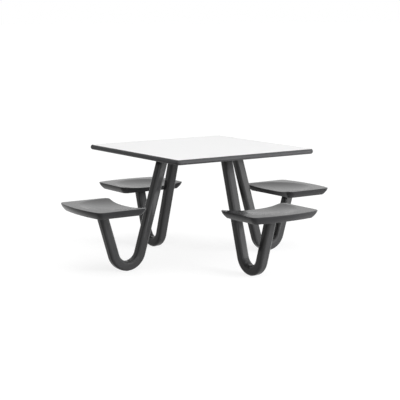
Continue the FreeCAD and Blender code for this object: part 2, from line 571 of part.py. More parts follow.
def makeLegTube(side):
    body = newBody(f"leg_tube_{side}")
    section = newSketch(body, "TubeSection", "YZ_Plane", "footRadius")
    section.setExpression(".AttachmentOffset.Base.y", cell("bendBottomZ"))
    roundedRectangle(section, "tubeSide", "tubeSide", "tubeRadius")
    bore = newSketch(body, "TubeBore", "YZ_Plane", "footRadius")
    bore.setExpression(".AttachmentOffset.Base.y", cell("bendBottomZ"))
    roundedRectangle(bore, "boreSide", "boreSide", "boreRadius")
    outer = armPath(body, "OuterArmPath", "outerPathX", "outerPathZ")
    inner = armPath(body, "InnerArmPath", "innerPathX", "innerPathZ")
    sweep(body, "Additive", "OuterArm", section, outer)
    sweep(body, "Additive", "InnerArm", section, inner)
    sweep(body, "Subtractive", "OuterBore", bore, outer)
    sweep(body, "Subtractive", "InnerBore", bore, inner)
    # each arm ends level: under the plate of its seat, and under the plate of the top
    for name, nearX, farX, endZ in (("OuterEnd", "footRadius", "outerTrimX", "endPlateBaseZ"),
                                    ("InnerEnd", "innerTrimX", "footRadius", "plateBaseZ")):
        trim = newSketch(body, name, "XY_Plane", endZ)
        polygon(trim, [(nearX, "-trimReach"), (farX, "-trimReach"), (farX, "trimReach"), (nearX, "trimReach")])
        pocket(body, name + "Cut", trim, "trimReach", upwards=True)
    hole = newSketch(body, "GlideHole", "XY_Plane")
    circles(hole, [("footRadius", "0")], "glideHole")
    pocket(body, "GlideBore", hole, "glideHoleDepth", upwards=True)
    place(body, side)


def makePlate(label, side, outline, thick, holes, x, z):
    """Flat plate with round corners and its holes."""
    body = newBody(label)
    shape = newSketch(body, "PlateOutline", "XY_Plane")
    roundedRectangle(shape, *outline)
    pad(body, "PlatePad", shape, thick)
    for number, (places, diameter) in enumerate(holes, start=1):
        sketch = newSketch(body, f"Holes{number}", "XY_Plane")
        circles(sketch, places, diameter)
        pocket(body, f"Bores{number}", sketch, thick, upwards=True)
    place(body, side, x, z)


def makeRing(label, side, outer, inner, rises, thick, z):
    """One ring, or several on the same axis, each at its own rise."""
    body = newBody(label)
    for number, rise in enumerate(rises, start=1):
        sketch = newSketch(body, f"Ring{number}", "XY_Plane", rise)
        circles(sketch, [("0", "0")], outer, inner)
        pad(body, f"RingPad{number}", sketch, thick)
    place(body, side, "outerTopX", z)


def makeGlide(side):
    body = newBody(f"foot_glide_{side}")
    disc = newSketch(body, "Disc", "XY_Plane")
    circles(disc, [("0", "0")], "glideSize")
    pad(body, "DiscPad", disc, "glideBlank")
    bend = newSketch(body, "Bend", "XZ_Plane")
    shape = Part.Circle(FreeCAD.Vector(0, size("bendCentreZ"), 0), FreeCAD.Vector(0, 0, 1), size("bendOuterRadius"))
    circle = bend.addGeometry(shape)
    pin(bend, circle, 3, "0", "bendCentreZ")
    dimension(bend, "Radius", (circle,), "bendOuterRadius")
    pocket(body, "Saddle", bend, "trimReach", bothWays=True)
    stem = newSketch(body, "Stem", "XY_Plane")
    circles(stem, [("0", "0")], "glideStem")
    pad(body, "StemPad", stem, "glideStemLength")
    place(body, side, "footRadius")


def makeSpindle(side):
    """Hub and shaft in one turned piece, drawn from the hub's underside, with the ring's groove."""
    body = newBody(f"spindle_{side}")
    profile = newSketch(body, "TurnedProfile", "XZ_Plane")
    polygon(profile, [("0", "hubHeight"), ("0", "-spindleDrop"), ("spindleHalf", "-spindleDrop"),
                      ("spindleHalf", "-ringEndDrop"), ("grooveHalf", "-ringEndDrop"),
                      ("grooveHalf", "-ringDrop"), ("spindleHalf", "-ringDrop"), ("spindleHalf", "0"),
                      ("hubHalf", "0"), ("hubHalf", "hubHeight")])
    turned = body.newObject("PartDesign::Revolution", "Turned")
    turned.Profile = profile
    turned.ReferenceAxis = (profile, ["V_Axis"])
    turned.Angle = 360.0
    place(body, side, "outerTopX", "hubBaseZ")


def makeRetainer(side):
    """Washer and snap ring that hold the spindle down."""
    body = newBody(f"spindle_retainer_{side}")
    washer = newSketch(body, "Washer", "XY_Plane", "retainerTopZ")
    circles(washer, [("0", "0")], "ringOuter", "retainerBore")
    pad(body, "WasherPad", washer, "retainerThick", downwards=True)
    ring = newSketch(body, "SnapRing", "XY_Plane", "ringTopZ")
    circles(ring, [("0", "0")], "ringOuter", "ringBore")
    pad(body, "SnapRingPad", ring, "ringBody", downwards=True)
    place(body, side, "outerTopX")


def makeSeatScrews(side):
    body = newBody(f"seat_screws_{side}")
    places = mirrored("seatScrewAlong", "seatScrewAcross")
    heads = newSketch(body, "Heads", "XY_Plane")
    circles(heads, places, "seatScrewHead")
    pad(body, "HeadPads", heads, "seatScrewHeadThick", downwards=True)
    shanks = newSketch(body, "Shanks", "XY_Plane")
    circles(shanks, places, "seatScrewSize")
    pad(body, "ShankPads", shanks, "seatScrewLength")
    sockets = newSketch(body, "Sockets", "XY_Plane", "-seatScrewHeadThick")
    circles(sockets, places, "seatScrewSocket")
    pocket(body, "DriveRecesses", sockets, "seatScrewSocketDepth", upwards=True)
    place(body, side, "outerTopX", "seatPlateBaseZ")


def makeSeatInserts(side):
    body = newBody(f"seat_inserts_{side}")
    rings = newSketch(body, "Rings", "XY_Plane")
    circles(rings, mirrored("seatScrewAlong", "seatScrewAcross"), "seatInsertSize", "seatInsertBore")
    pad(body, "RingPads", rings, "seatInsertLength")
    place(body, side, "outerTopX", "hollowTopZ")


def dishSection(body, name, x, depth):
    """What the dish takes away at one distance from the swivel axis: an arc below the rim's level."""
    sketch = newSketch(body, name, "YZ_Plane", x)
    half, rim, sag, rise = size("dishHalf"), size("shellDepth"), size(depth), size("dishTop")
    corners = [(half, rim), (half, rim + rise), (-half, rim + rise), (-half, rim)]
    points = [FreeCAD.Vector(*corner, 0) for corner in corners]
    lines = [sketch.addGeometry(Part.LineSegment(start, end)) for start, end in zip(points, points[1:])]
    arc = sketch.addGeometry(Part.Arc(points[-1], FreeCAD.Vector(0, rim - sag, 0), points[0]))
    edges = lines + [arc]
    for number, edge in enumerate(edges):
        sketch.addConstraint(Sketcher.Constraint("Coincident", edges[number - 1], 2, edge, 1))
    pin(sketch, lines[0], 1, "dishHalf", "shellDepth")
    pin(sketch, arc, 1, "-dishHalf", "shellDepth")
    for edge, token in ((lines[1], "dishHalf"), (lines[2], "-dishHalf")):
        dimension(sketch, "DistanceX", (-1, 1, edge, 1), token)
        dimension(sketch, "DistanceY", (lines[0], 1, edge, 1), "dishTop")
    radius = sketch.addConstraint(Sketcher.Constraint("Radius", arc, (half ** 2 + sag ** 2) / (2 * sag)))
    token = cell(depth)
    sketch.setExpression(f"Constraints[{radius}]", f"(Sizes.dishHalf^2 + {token}^2) / (2 * {token})")
    return sketch


def makeSeatShell(side):
    """Dished seat with walls that lean in below its rim, drawn from its lower edge on the swivel axis."""
    body = newBody(f"seat_shell_{side}")
    levels = {}
    for name, height in (("foot", "0"), ("middle", "middleHeight"), ("rim", "shellDepth"),
                         ("mouth", "0"), ("roof", "hollowHeight")):
        levels[name] = newSketch(body, name.capitalize() + "Outline", "XY_Plane", height)
        bowedOutline(levels[name], name)
    loft(body, "Additive", "Blank", [levels["foot"], levels["middle"], levels["rim"]])
    sections = [dishSection(body, "DishAtFront", "-dishStart", "dishFront"),
                dishSection(body, "DishDeepest", "-dishDeepest", "dishDeep"),
                dishSection(body, "DishOverAxis", "0", "dishAxis"),
                dishSection(body, "DishTurning", "dishTurn", "dishBack"),
                dishSection(body, "DishEnd", "dishStop", "dishEnd")]
    loft(body, "Subtractive", "Dish", sections)
    loft(body, "Subtractive", "Hollow", [levels["mouth"], levels["roof"]])
    ribs = newSketch(body, "RibsAcross", "XY_Plane", "hollowHeight")
    for near, far in (("ribAlong", "ribAlongEnd"), ("-ribAlong", "-ribAlongEnd")):
        polygon(ribs, [(near, "-ribHalf"), (far, "-ribHalf"), (far, "ribHalf"), (near, "ribHalf")])
    pad(body, "RibsAcrossPad", ribs, "ribDepth", downwards=True)
    spines = newSketch(body, "RibsAlong", "XY_Plane", "hollowHeight")
    for near, far in (("ribAcross", "ribAcrossEnd"), ("-ribAcross", "-ribAcrossEnd")):
        polygon(spines, [("-ribFront", near), ("ribBack", near), ("ribBack", far), ("-ribFront", far)])
    pad(body, "RibsAlongPad", spines, "ribDepth", downwards=True)
    holes = newSketch(body, "InsertHoles", "XY_Plane", "hollowHeight")
    circles(holes, mirrored("seatScrewAlong", "seatScrewAcross"), "seatInsertHole")
    pocket(body, "InsertBores", holes, "seatInsertLength", upwards=True)
    place(body, side, "outerTopX", "shellBaseZ")


def makeLeg(side):
    """Leg with its plates and the still half of the swivel."""
    makeLegTube(side)
    makePlate(f"top_plate_{side}", side, ("topPlateLength", "topPlateWidth", "topPlateRadius"),
              "topPlateThick", [(plateScrewPlaces(), "topScrewHole")], "innerTopX", "plateBaseZ")
    makePlate(f"end_plate_{side}", side, ("endPlateLength", "endPlateWidth", "endPlateRadius"),
              "endPlateThick", [([("0", "0")], "endPlateHole")], "outerTopX", "endPlateBaseZ")
    makeRing(f"bearing_housing_{side}", side, "housingOuter", "housingInner", ["0"], "housingDepth",
             "housingBaseZ")
    makeRing(f"swivel_bushes_{side}", side, "bushOuter", "bushInner", ["0", "bushRise"], "bushLength",
             "housingBaseZ")
    makeRing(f"thrust_washer_{side}", side, "washerOuter", "bushInner", ["0"], "washerThick",
             "endPlateTopZ")
    makeGlide(side)


def makeSeat(side):
    """Everything that turns with one seat."""
    makeSeatShell(side)
    makePlate(f"seat_plate_{side}", side, ("seatPlateLength", "seatPlateWidth", "seatPlateRadius"),
              "seatPlateThick", [(mirrored("seatScrewAlong", "seatScrewAcross"), "seatPlateHole")],
              "outerTopX", "seatPlateBaseZ")
    makeSpindle(side)
    makeRetainer(side)
    makeSeatScrews(side)
    makeSeatInserts(side)


def writeParts():
    """Recompute, test every object, and write one STEP file for each piece."""
    doc.recompute()
    failed = [item.Name for item in doc.Objects if {"Invalid", "Error"} & set(item.State)]
    if failed:
        raise RuntimeError(f"failed objects: {failed}")
    bodies = [item for item in doc.Objects if item.TypeId == "PartDesign::Body"]
    for body in bodies:
        if body.Shape.isNull() or not body.Shape.isValid():
            raise RuntimeError(f"bad shape: {body.Label}")
    os.makedirs("parts", exist_ok=True)
    for body in bodies:
        body.Shape.exportStep(f"parts/{body.Label}.step")
        print(f"{body.Label}: {len(body.Shape.Solids)} solids, {body.Shape.Volume:.0f} mm3")


fillSheet()
makeTopCore()
makeLaminate()
makeBacker()
makeEdgeMoulding()
makeTopScrews()
makeTopInserts()
for side in sides:
    makeLeg(side)
    makeSeat(side)
writeParts()
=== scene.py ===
# A square table on four bent-tube legs, with a swivel seat on the outer arm of each leg.
import math

import bmesh
import bpy
import numpy as np
from mathutils import Matrix, Vector


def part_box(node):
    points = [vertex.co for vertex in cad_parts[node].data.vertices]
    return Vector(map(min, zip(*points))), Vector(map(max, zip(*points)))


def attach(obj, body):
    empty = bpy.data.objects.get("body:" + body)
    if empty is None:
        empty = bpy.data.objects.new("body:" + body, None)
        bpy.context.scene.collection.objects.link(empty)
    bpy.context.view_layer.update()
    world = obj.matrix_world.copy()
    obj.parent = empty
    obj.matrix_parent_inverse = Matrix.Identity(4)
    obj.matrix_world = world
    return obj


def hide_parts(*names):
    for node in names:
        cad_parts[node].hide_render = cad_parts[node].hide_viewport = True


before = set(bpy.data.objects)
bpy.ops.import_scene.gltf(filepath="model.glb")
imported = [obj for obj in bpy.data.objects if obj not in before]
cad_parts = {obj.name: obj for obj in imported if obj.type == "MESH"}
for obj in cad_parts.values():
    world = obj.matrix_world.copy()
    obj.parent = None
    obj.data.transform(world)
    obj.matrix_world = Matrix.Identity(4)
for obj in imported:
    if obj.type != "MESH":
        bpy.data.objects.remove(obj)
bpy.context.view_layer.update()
sides = {"right": 0, "back": 90, "left": 180, "front": 270}  # turn of each leg about the table's middle
print("frame loaded,", len(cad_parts), "nodes")


# helpers for node trees and meshes
def addNode(tree, kind, inputs=None, **settings):
    node = tree.nodes.new(kind)
    node.location = (190 * (len(tree.nodes) - 1), -60 * (len(tree.nodes) % 4))
    for key, value in settings.items():
        setattr(node, key, value)
    for socket, value in (inputs or {}).items():
        if isinstance(value, bpy.types.NodeSocket):
            tree.links.new(value, node.inputs[socket])
        else:
            node.inputs[socket].default_value = value
    return node


def newTree(kind, name, inputs, outputs):
    tree = bpy.data.node_groups.new(name, kind)
    for label, (socketKind, value) in inputs.items():
        socket = tree.interface.new_socket(label, in_out="INPUT", socket_type="NodeSocket" + socketKind)
        if value is not None:
            socket.default_value = value
    for label, socketKind in outputs.items():
        tree.interface.new_socket(label, in_out="OUTPUT", socket_type="NodeSocket" + socketKind)
    return tree, addNode(tree, "NodeGroupInput").outputs


def closeTree(tree, geometry, finish):
    real = addNode(tree, "GeometryNodeRealizeInstances", {0: geometry})
    shaded = addNode(tree, "GeometryNodeSetShadeSmooth", {0: real.outputs[0]})
    painted = addNode(tree, "GeometryNodeSetMaterial", {0: shaded.outputs[0], "Material": finish})
    addNode(tree, "NodeGroupOutput", {0: painted.outputs[0]})


def maths(tree, operation, first, second=None):
    given = {0: first} if second is None else {0: first, 1: second}
    return addNode(tree, "ShaderNodeMath", given, operation=operation).outputs[0]


def spread(tree, value, low, high, fromLow=0.3, fromHigh=0.7):
    # a pattern's own range stretched to the range that a shade or a gloss needs
    return addNode(tree, "ShaderNodeMapRange", {"Value": value, "From Min": fromLow, "From Max": fromHigh,
                                                "To Min": low, "To Max": high}).outputs["Result"]


def newPiece(name, mesh):
    piece = bpy.data.objects.new(name, mesh)
    bpy.context.scene.collection.objects.link(piece)
    return piece


def edgeMesh(name, points, closed=False):
    # a row of points joined by edges
    mesh = bpy.data.meshes.new(name)
    edges = [(i, i + 1) for i in range(len(points) - 1)]
    if closed:
        edges.append((len(points) - 1, 0))
    mesh.from_pydata(points, edges, [])
    return mesh


def settle(piece):
    # what the modifiers make becomes the piece's own mesh
    bpy.context.view_layer.update()
    graph = bpy.context.evaluated_depsgraph_get()
    mesh = bpy.data.meshes.new_from_object(piece.evaluated_get(graph))
    old = piece.data
    piece.modifiers.clear()
    piece.data = mesh
    bpy.data.meshes.remove(old)
    mesh.name = piece.name
    return piece


def runTree(name, tree, mesh, values):
    piece = newPiece(name, mesh)
    modifier = piece.modifiers.new("shape", "NODES")
    modifier.node_group = tree
    for socket in tree.interface.items_tree:
        if socket.in_out == "INPUT" and socket.name in values:
            modifier[socket.identifier] = values[socket.name]
    return settle(piece)


easeValues = {"steps": 2, "sharpAngle": 40, "flatAngle": 1, "joinDistance": 0.000001}


def evenNormals(piece, limit=easeValues["sharpAngle"]):
    # big faces pull the normals their way, so flats stay flat beside their round edges,
    # and edges sharper than the limit stay crisp
    mesh = piece.data
    corners = np.zeros(len(mesh.loops), int)
    mesh.loops.foreach_get("vertex_index", corners)
    areas = np.zeros(len(mesh.polygons))
    mesh.polygons.foreach_get("area", areas)
    facing = np.zeros(len(mesh.polygons) * 3)
    mesh.polygons.foreach_get("normal", facing)
    sizes = np.zeros(len(mesh.polygons), int)
    mesh.polygons.foreach_get("loop_total", sizes)
    faces = np.repeat(np.arange(len(sizes)), sizes)
    facing = facing.reshape(-1, 3)[faces]
    areas = areas[faces]
    # each corner is paired with every corner at the same point
    order = np.argsort(corners, kind="stable")
    firsts, counts = np.unique(corners[order], return_index=True, return_counts=True)[1:]
    firsts, counts = np.repeat(firsts, counts), np.repeat(counts, counts)
    steps = np.arange(counts.sum()) - np.repeat(np.cumsum(counts) - counts, counts)
    mine = order[np.repeat(np.arange(len(order)), counts)]
    other = order[np.repeat(firsts, counts) + steps]
    near = (facing[mine] * facing[other]).sum(axis=1) > math.cos(math.radians(limit))
    total = np.zeros((len(corners), 3))
    np.add.at(total, mine[near], (facing * areas[:, None])[other[near]])
    total /= np.maximum(np.linalg.norm(total, axis=1), 1e-12)[:, None]
    mesh.normals_split_custom_set([tuple(row) for row in total])


def fit(piece, body, slot, *nodes):
    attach(piece, body)
    if nodes:
        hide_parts(*nodes)


def easeEdges(piece, width, steps=easeValues["steps"], angle=easeValues["sharpAngle"]):
    rounding = piece.modifiers.new("rounding", "BEVEL")
    rounding.width = width
    rounding.segments = steps
    rounding.limit_method = "ANGLE"
    rounding.angle_limit = math.radians(angle)
    rounding.use_clamp_overlap = True
    settle(piece)
    piece.data.polygons.foreach_set("use_smooth", [True] * len(piece.data.polygons))
    evenNormals(piece)


def roundedCopy(node, body, slot, width):
    # the node's own shape, with its sharp edges eased
    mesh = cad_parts[node].data.copy()
    build = bmesh.new()
    build.from_mesh(mesh)
    bmesh.ops.remove_doubles(build, verts=build.verts, dist=easeValues["joinDistance"])
    bmesh.ops.dissolve_limit(build, angle_limit=math.radians(easeValues["flatAngle"]), verts=build.verts,
                             edges=build.edges)
    build.to_mesh(mesh)
    build.free()
    piece = newPiece(f"{node}_eased", mesh)
    mesh.materials.clear()
    mesh.materials.append(materials[slot])
    easeEdges(piece, width)
    fit(piece, body, slot, node)


def middle(node):
    low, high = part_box(node)
    return (low + high) / 2


def turned(points, angle):
    turn = Matrix.Rotation(math.radians(angle), 4, "Z")
    return [turn @ Vector(point) for point in points]


def roundedLoop(length, width, radius, steps):
    # corner by corner, anticlockwise, each corner an arc
    loop = []
    for quarter, (x, y) in enumerate(((1, 1), (-1, 1), (-1, -1), (1, -1))):
        for step in range(steps + 1):
            angle = math.radians(90 * (quarter + step / steps))
            loop.append((x * (length / 2 - radius) + radius * math.cos(angle),
                         y * (width / 2 - radius) + radius * math.sin(angle)))
    return loop


# sizes that several pieces share, read from the frame
topLow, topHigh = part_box("edge_moulding")
tubeLow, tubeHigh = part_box("leg_tube_right")
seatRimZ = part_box("seat_shell_right")[1].z
axisX = middle("spindle_right").x
footX = middle("foot_glide_right").x
armTopX = middle("top_plate_right").x
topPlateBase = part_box("top_plate_right")[0].z
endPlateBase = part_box("end_plate_right")[0].z
tubeSide = tubeHigh.y - tubeLow.y
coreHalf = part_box("top_core")[1].x
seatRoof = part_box("seat_inserts_right")[0].z
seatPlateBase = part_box("seat_plate_right")[0].z


# shader groups that more than one material uses
grainValues = {"pebbleSmoothness": 0.6, "swellDetail": 2.0, "swellRoughness": 0.5,
               "patchScale": 7.0, "patchDetail": 4.0, "patchRoughness": 0.6}
wearValues = {"scratchScale": 60.0, "scratchStretch": (1.0, 9.0, 4.0), "scratchTurn": (0.3, 0.2, 0.6),
              "scratchDetail": 3.0, "scratchRoughness": 0.7, "scratchFrom": 0.60, "scratchTo": 0.72,
              "scratchDulling": 0.12, "dustScale": 14.0, "dustDetail": 5.0, "dustRoughness": 0.65,
              "dustFromLevel": 0.6, "dustFrom": 0.3, "dustTo": 0.8, "dustColour": (0.45, 0.44, 0.42)}


def makeGrainGroup():
    v = grainValues
    tree, given = newTree("ShaderNodeTree", "fineGrain", {
        "Vector": ("Vector", None), "Scale": ("Float", 900.0), "Softness": ("Float", 0.5)},
        {"Height": "Float", "Patches": "Float"})
    pebbles = addNode(tree, "ShaderNodeTexVoronoi", {
        "Vector": given["Vector"], "Scale": given["Scale"],
        "Smoothness": v["pebbleSmoothness"]}, feature="SMOOTH_F1")
    swell = addNode(tree, "ShaderNodeTexNoise", {
        "Vector": given["Vector"], "Scale": given["Scale"], "Detail": v["swellDetail"],
        "Roughness": v["swellRoughness"]})
    mixed = addNode(tree, "ShaderNodeMix", {"Factor": given["Softness"], "A": pebbles.outputs["Distance"],
                                            "B": swell.outputs["Fac"]})
    patches = addNode(tree, "ShaderNodeTexNoise", {
        "Vector": given["Vector"], "Scale": v["patchScale"], "Detail": v["patchDetail"],
        "Roughness": v["patchRoughness"]})
    addNode(tree, "NodeGroupOutput", {"Height": mixed.outputs["Result"], "Patches": patches.outputs["Fac"]})
    return tree


def makeWearGroup():
    v = wearValues
    tree, given = newTree("ShaderNodeTree", "useMarks", {
        "Vector": ("Vector", None), "Scratch scale": ("Float", 60.0), "Amount": ("Float", 0.5)},
        {"Marks": "Float", "Dust": "Float"})
    drawn = addNode(tree, "ShaderNodeMapping", {"Vector": given["Vector"], "Scale": v["scratchStretch"],
                                                "Rotation": v["scratchTurn"]})
    lines = addNode(tree, "ShaderNodeTexNoise", {"Vector": drawn.outputs[0], "Scale": given["Scratch scale"],
                                                 "Detail": v["scratchDetail"],
                                                 "Roughness": v["scratchRoughness"]})
    thin = spread(tree, lines.outputs["Fac"], 0.0, 1.0, v["scratchFrom"], v["scratchTo"])
    # dust lies in a thin cloud on what faces up
    surface = addNode(tree, "ShaderNodeNewGeometry")
    upward = addNode(tree, "ShaderNodeSeparateXYZ", {0: surface.outputs["Normal"]})
    level = spread(tree, upward.outputs["Z"], 0.0, 1.0, v["dustFromLevel"], 1.0)
    cloud = addNode(tree, "ShaderNodeTexNoise", {"Vector": given["Vector"], "Scale": v["dustScale"],
                                                 "Detail": v["dustDetail"], "Roughness": v["dustRoughness"]})
    addNode(tree, "NodeGroupOutput", {"Marks": maths(tree, "MULTIPLY", thin, given["Amount"]),
                                      "Dust": maths(tree, "MULTIPLY", level, cloud.outputs["Fac"])})
    return tree


grainGroup = makeGrainGroup()
wearGroup = makeWearGroup()


def blendColour(tree, factor, first, second):
    return addNode(tree, "ShaderNodeMix", {0: factor, 6: first, 7: second}, data_type="RGBA").outputs[2]


def makeFinish(name, values):
    # colour and gloss that drift a little over the surface, under a fine grain
    material = bpy.data.materials.new(name)
    material.use_nodes = True
    tree = material.node_tree
    shader = tree.nodes["Principled BSDF"]
    shader.inputs["Metallic"].default_value = values["metallic"]
    shader.inputs["Specular IOR Level"].default_value = values["specular"]
    place = addNode(tree, "ShaderNodeTexCoord").outputs["Object"]
    drawn = addNode(tree, "ShaderNodeMapping", {"Vector": place, "Scale": values["stretch"]})
    grain = addNode(tree, "ShaderNodeGroup", {"Vector": drawn.outputs[0], "Scale": values["grainScale"],
                                              "Softness": values["grainSoftness"]}, node_tree=grainGroup)
    wear = addNode(tree, "ShaderNodeGroup", {"Vector": place, "Scratch scale": wearValues["scratchScale"],
                                             "Amount": values["marks"]}, node_tree=wearGroup)

    shade = grain.outputs["Patches"]
    if "chips" in values:
        # pressed chips or zinc crystals, each with its own shade
        chips = addNode(tree, "ShaderNodeTexVoronoi", {"Vector": place, "Scale": values["chips"]})
        split = addNode(tree, "ShaderNodeSeparateXYZ", {0: chips.outputs["Color"]})
        mixed = addNode(tree, "ShaderNodeMix", {"Factor": values["chipShare"], "A": shade,
                                                "B": split.outputs[0]})
        shade = mixed.outputs["Result"]
    base = blendColour(tree, shade, (*values["dark"], 1), (*values["light"], 1))
    dust = spread(tree, wear.outputs["Dust"], 0.0, values["dust"], wearValues["dustFrom"],
                  wearValues["dustTo"])
    dusty = blendColour(tree, dust, base, (*wearValues["dustColour"], 1))
    tree.links.new(dusty, shader.inputs["Base Color"])

    gloss = spread(tree, shade, *values["roughness"])
    scratched = spread(tree, wear.outputs["Marks"], 0.0, wearValues["scratchDulling"], 0.0, 1.0)
    tree.links.new(maths(tree, "ADD", gloss, scratched), shader.inputs["Roughness"])
    relief = addNode(tree, "ShaderNodeBump", {"Height": grain.outputs["Height"],
                                              "Strength": values["grainStrength"],
                                              "Distance": values["grainDepth"]})
    tree.links.new(relief.outputs["Normal"], shader.inputs["Normal"])
    return material


# what a finish has unless its own entry says otherwise
plainFinish = {"metallic": 0.0, "specular": 0.5, "stretch": (1, 1, 1), "grainSoftness": 0.5, "marks": 0.3,
               "dust": 0.05, "chipShare": 0.7}
finishes = {
    "seat_plastic": {"dark": (0.021, 0.021, 0.0225), "light": (0.029, 0.029, 0.0305), "specular": 0.13,
                     "roughness": (0.19, 0.23), "grainScale": 1400.0, "grainStrength": 0.10,
                     "grainDepth": 0.00005, "marks": 0.25, "dust": 0.03},
    "frame_paint": {"dark": (0.043, 0.043, 0.044), "light": (0.051, 0.051, 0.052), "specular": 0.14,
                    "roughness": (0.08, 0.11), "grainScale": 420.0, "grainStrength": 0.06,
                    "grainDepth": 0.00004, "grainSoftness": 0.9, "marks": 0.2, "dust": 0.02},
    "edge": {"dark": (0.044, 0.044, 0.046), "light": (0.056, 0.056, 0.058), "specular": 0.13,
             "roughness": (0.30, 0.38), "grainScale": 500.0, "grainStrength": 0.12, "grainDepth": 0.00005,
             "stretch": (1, 1, 14), "dust": 0.02},
    "laminate": {"dark": (0.82, 0.82, 0.82), "light": (0.85, 0.85, 0.85), "specular": 0.4,
                 "roughness": (0.46, 0.54), "grainScale": 1500.0, "grainStrength": 0.06,
                 "grainDepth": 0.00005, "marks": 0.1, "dust": 0.0},
    "backer": {"dark": (0.25, 0.24, 0.23), "light": (0.31, 0.30, 0.29), "roughness": (0.55, 0.65),
               "grainScale": 700.0, "grainStrength": 0.3, "grainDepth": 0.0001},
    "core": {"dark": (0.42, 0.31, 0.20), "light": (0.64, 0.50, 0.34), "roughness": (0.75, 0.9),
             "grainScale": 300.0, "grainStrength": 0.6, "grainDepth": 0.0004, "chips": 260.0},
    "washer_nylon": {"dark": (0.66, 0.66, 0.62), "light": (0.74, 0.74, 0.70), "roughness": (0.40, 0.50),
                     "grainScale": 1400.0, "grainStrength": 0.15, "grainDepth": 0.00008},
    "glide_nylon": {"dark": (0.020, 0.020, 0.020), "light": (0.032, 0.032, 0.032),
                    "roughness": (0.45, 0.55), "grainScale": 1000.0, "grainStrength": 0.3,
                    "grainDepth": 0.0001},
    "zinc": {"dark": (0.50, 0.50, 0.48), "light": (0.62, 0.62, 0.60), "roughness": (0.28, 0.40),
             "metallic": 1.0, "grainScale": 500.0, "grainStrength": 0.2, "grainDepth": 0.00008,
             "chips": 700.0},
    "bearing_steel": {"dark": (0.40, 0.40, 0.41), "light": (0.50, 0.50, 0.51), "roughness": (0.22, 0.34),
                      "metallic": 1.0, "grainScale": 300.0, "grainStrength": 0.25,
                      "grainDepth": 0.00006, "stretch": (1, 1, 16)},
    "insert_brass": {"dark": (0.62, 0.46, 0.20), "light": (0.76, 0.60, 0.30), "roughness": (0.25, 0.38),
                     "metallic": 1.0, "grainScale": 300.0, "grainStrength": 0.2, "grainDepth": 0.00006,
                     "stretch": (1, 1, 16)},
    "bush_bronze": {"dark": (0.48, 0.32, 0.16), "light": (0.60, 0.42, 0.22), "roughness": (0.35, 0.50),
                    "metallic": 1.0, "grainScale": 300.0, "grainStrength": 0.3, "grainDepth": 0.00008,
                    "stretch": (1, 1, 16)},
}
materials = {slot: makeFinish(slot, {**plainFinish, **values}) for slot, values in finishes.items()}
print("materials made:", len(materials))


# legs: one bent tube each, swept along its path
legValues = {"lean": 16.7, "bendRadius": 0.1016, "cornerRadius": 0.019, "bendSteps": 36, "cornerSteps": 10}


def makeTubeTree():
    tree, given = newTree("GeometryNodeTree", "bentTube", {
        "Path": ("Geometry", None), "Side": ("Float", 0.06), "Corner radius": ("Float", 0.01),
        "Corner steps": ("Int", 8), "Bend radius": ("Float", 0.1), "Bend steps": ("Int", 24),
        "Outer end height": ("Float", 0.4), "Inner end height": ("Float", 0.7),
        "Finish": ("Material", None)}, {"Geometry": "Geometry"})
    line = addNode(tree, "GeometryNodeMeshToCurve", {"Mesh": given["Path"]})
    bend = addNode(tree, "GeometryNodeFilletCurve", {"Curve": line.outputs[0],
                                                     "Radius": given["Bend radius"],
                                                     "Count": given["Bend steps"]}, mode="POLY")
    square = addNode(tree, "GeometryNodeCurvePrimitiveQuadrilateral", {"Width": given["Side"],
                                                                       "Height": given["Side"]})
    section = addNode(tree, "GeometryNodeFilletCurve", {"Curve": square.outputs[0],
                                                        "Radius": given["Corner radius"],
                                                        "Count": given["Corner steps"]}, mode="POLY")
    direction = addNode(tree, "GeometryNodeInputTangent")
    start = addNode(tree, "GeometryNodeCurveEndpointSelection", {"Start Size": 1, "End Size": 0})
    finish = addNode(tree, "GeometryNodeCurveEndpointSelection", {"Start Size": 0, "End Size": 1})
    kept = addNode(tree, "GeometryNodeCaptureAttribute", domain="POINT")
    for kind, label in (("VECTOR", "Direction"), ("BOOLEAN", "Start"), ("BOOLEAN", "Finish")):
        kept.capture_items.new(kind, label)
    tree.links.new(bend.outputs[0], kept.inputs["Geometry"])
    for source, label in ((direction, "Direction"), (start, "Start"), (finish, "Finish")):
        tree.links.new(source.outputs[0], kept.inputs[label])
    tube = addNode(tree, "GeometryNodeCurveToMesh", {"Curve": kept.outputs["Geometry"],
                                                     "Profile Curve": section.outputs[0],
                                                     "Fill Caps": True})
    shape = tube.outputs[0]
    # the ends slide along the arms until they are level
    for label, height in (("Start", "Outer end height"), ("Finish", "Inner end height")):
        place = addNode(tree, "GeometryNodeInputPosition")
        here = addNode(tree, "ShaderNodeSeparateXYZ", {0: place.outputs[0]})
        along = addNode(tree, "ShaderNodeSeparateXYZ", {0: kept.outputs["Direction"]})
        rise = maths(tree, "SUBTRACT", given[height], here.outputs["Z"])
        share = maths(tree, "DIVIDE", rise, along.outputs["Z"])
        step = addNode(tree, "ShaderNodeVectorMath", {0: kept.outputs["Direction"], "Scale": share},
                       operation="SCALE")
        slid = addNode(tree, "GeometryNodeSetPosition", {"Geometry": shape, "Selection": kept.outputs[label],
                                                         "Offset": step.outputs[0]})
        shape = slid.outputs[0]
    closeTree(tree, shape, given["Finish"])
    return tree


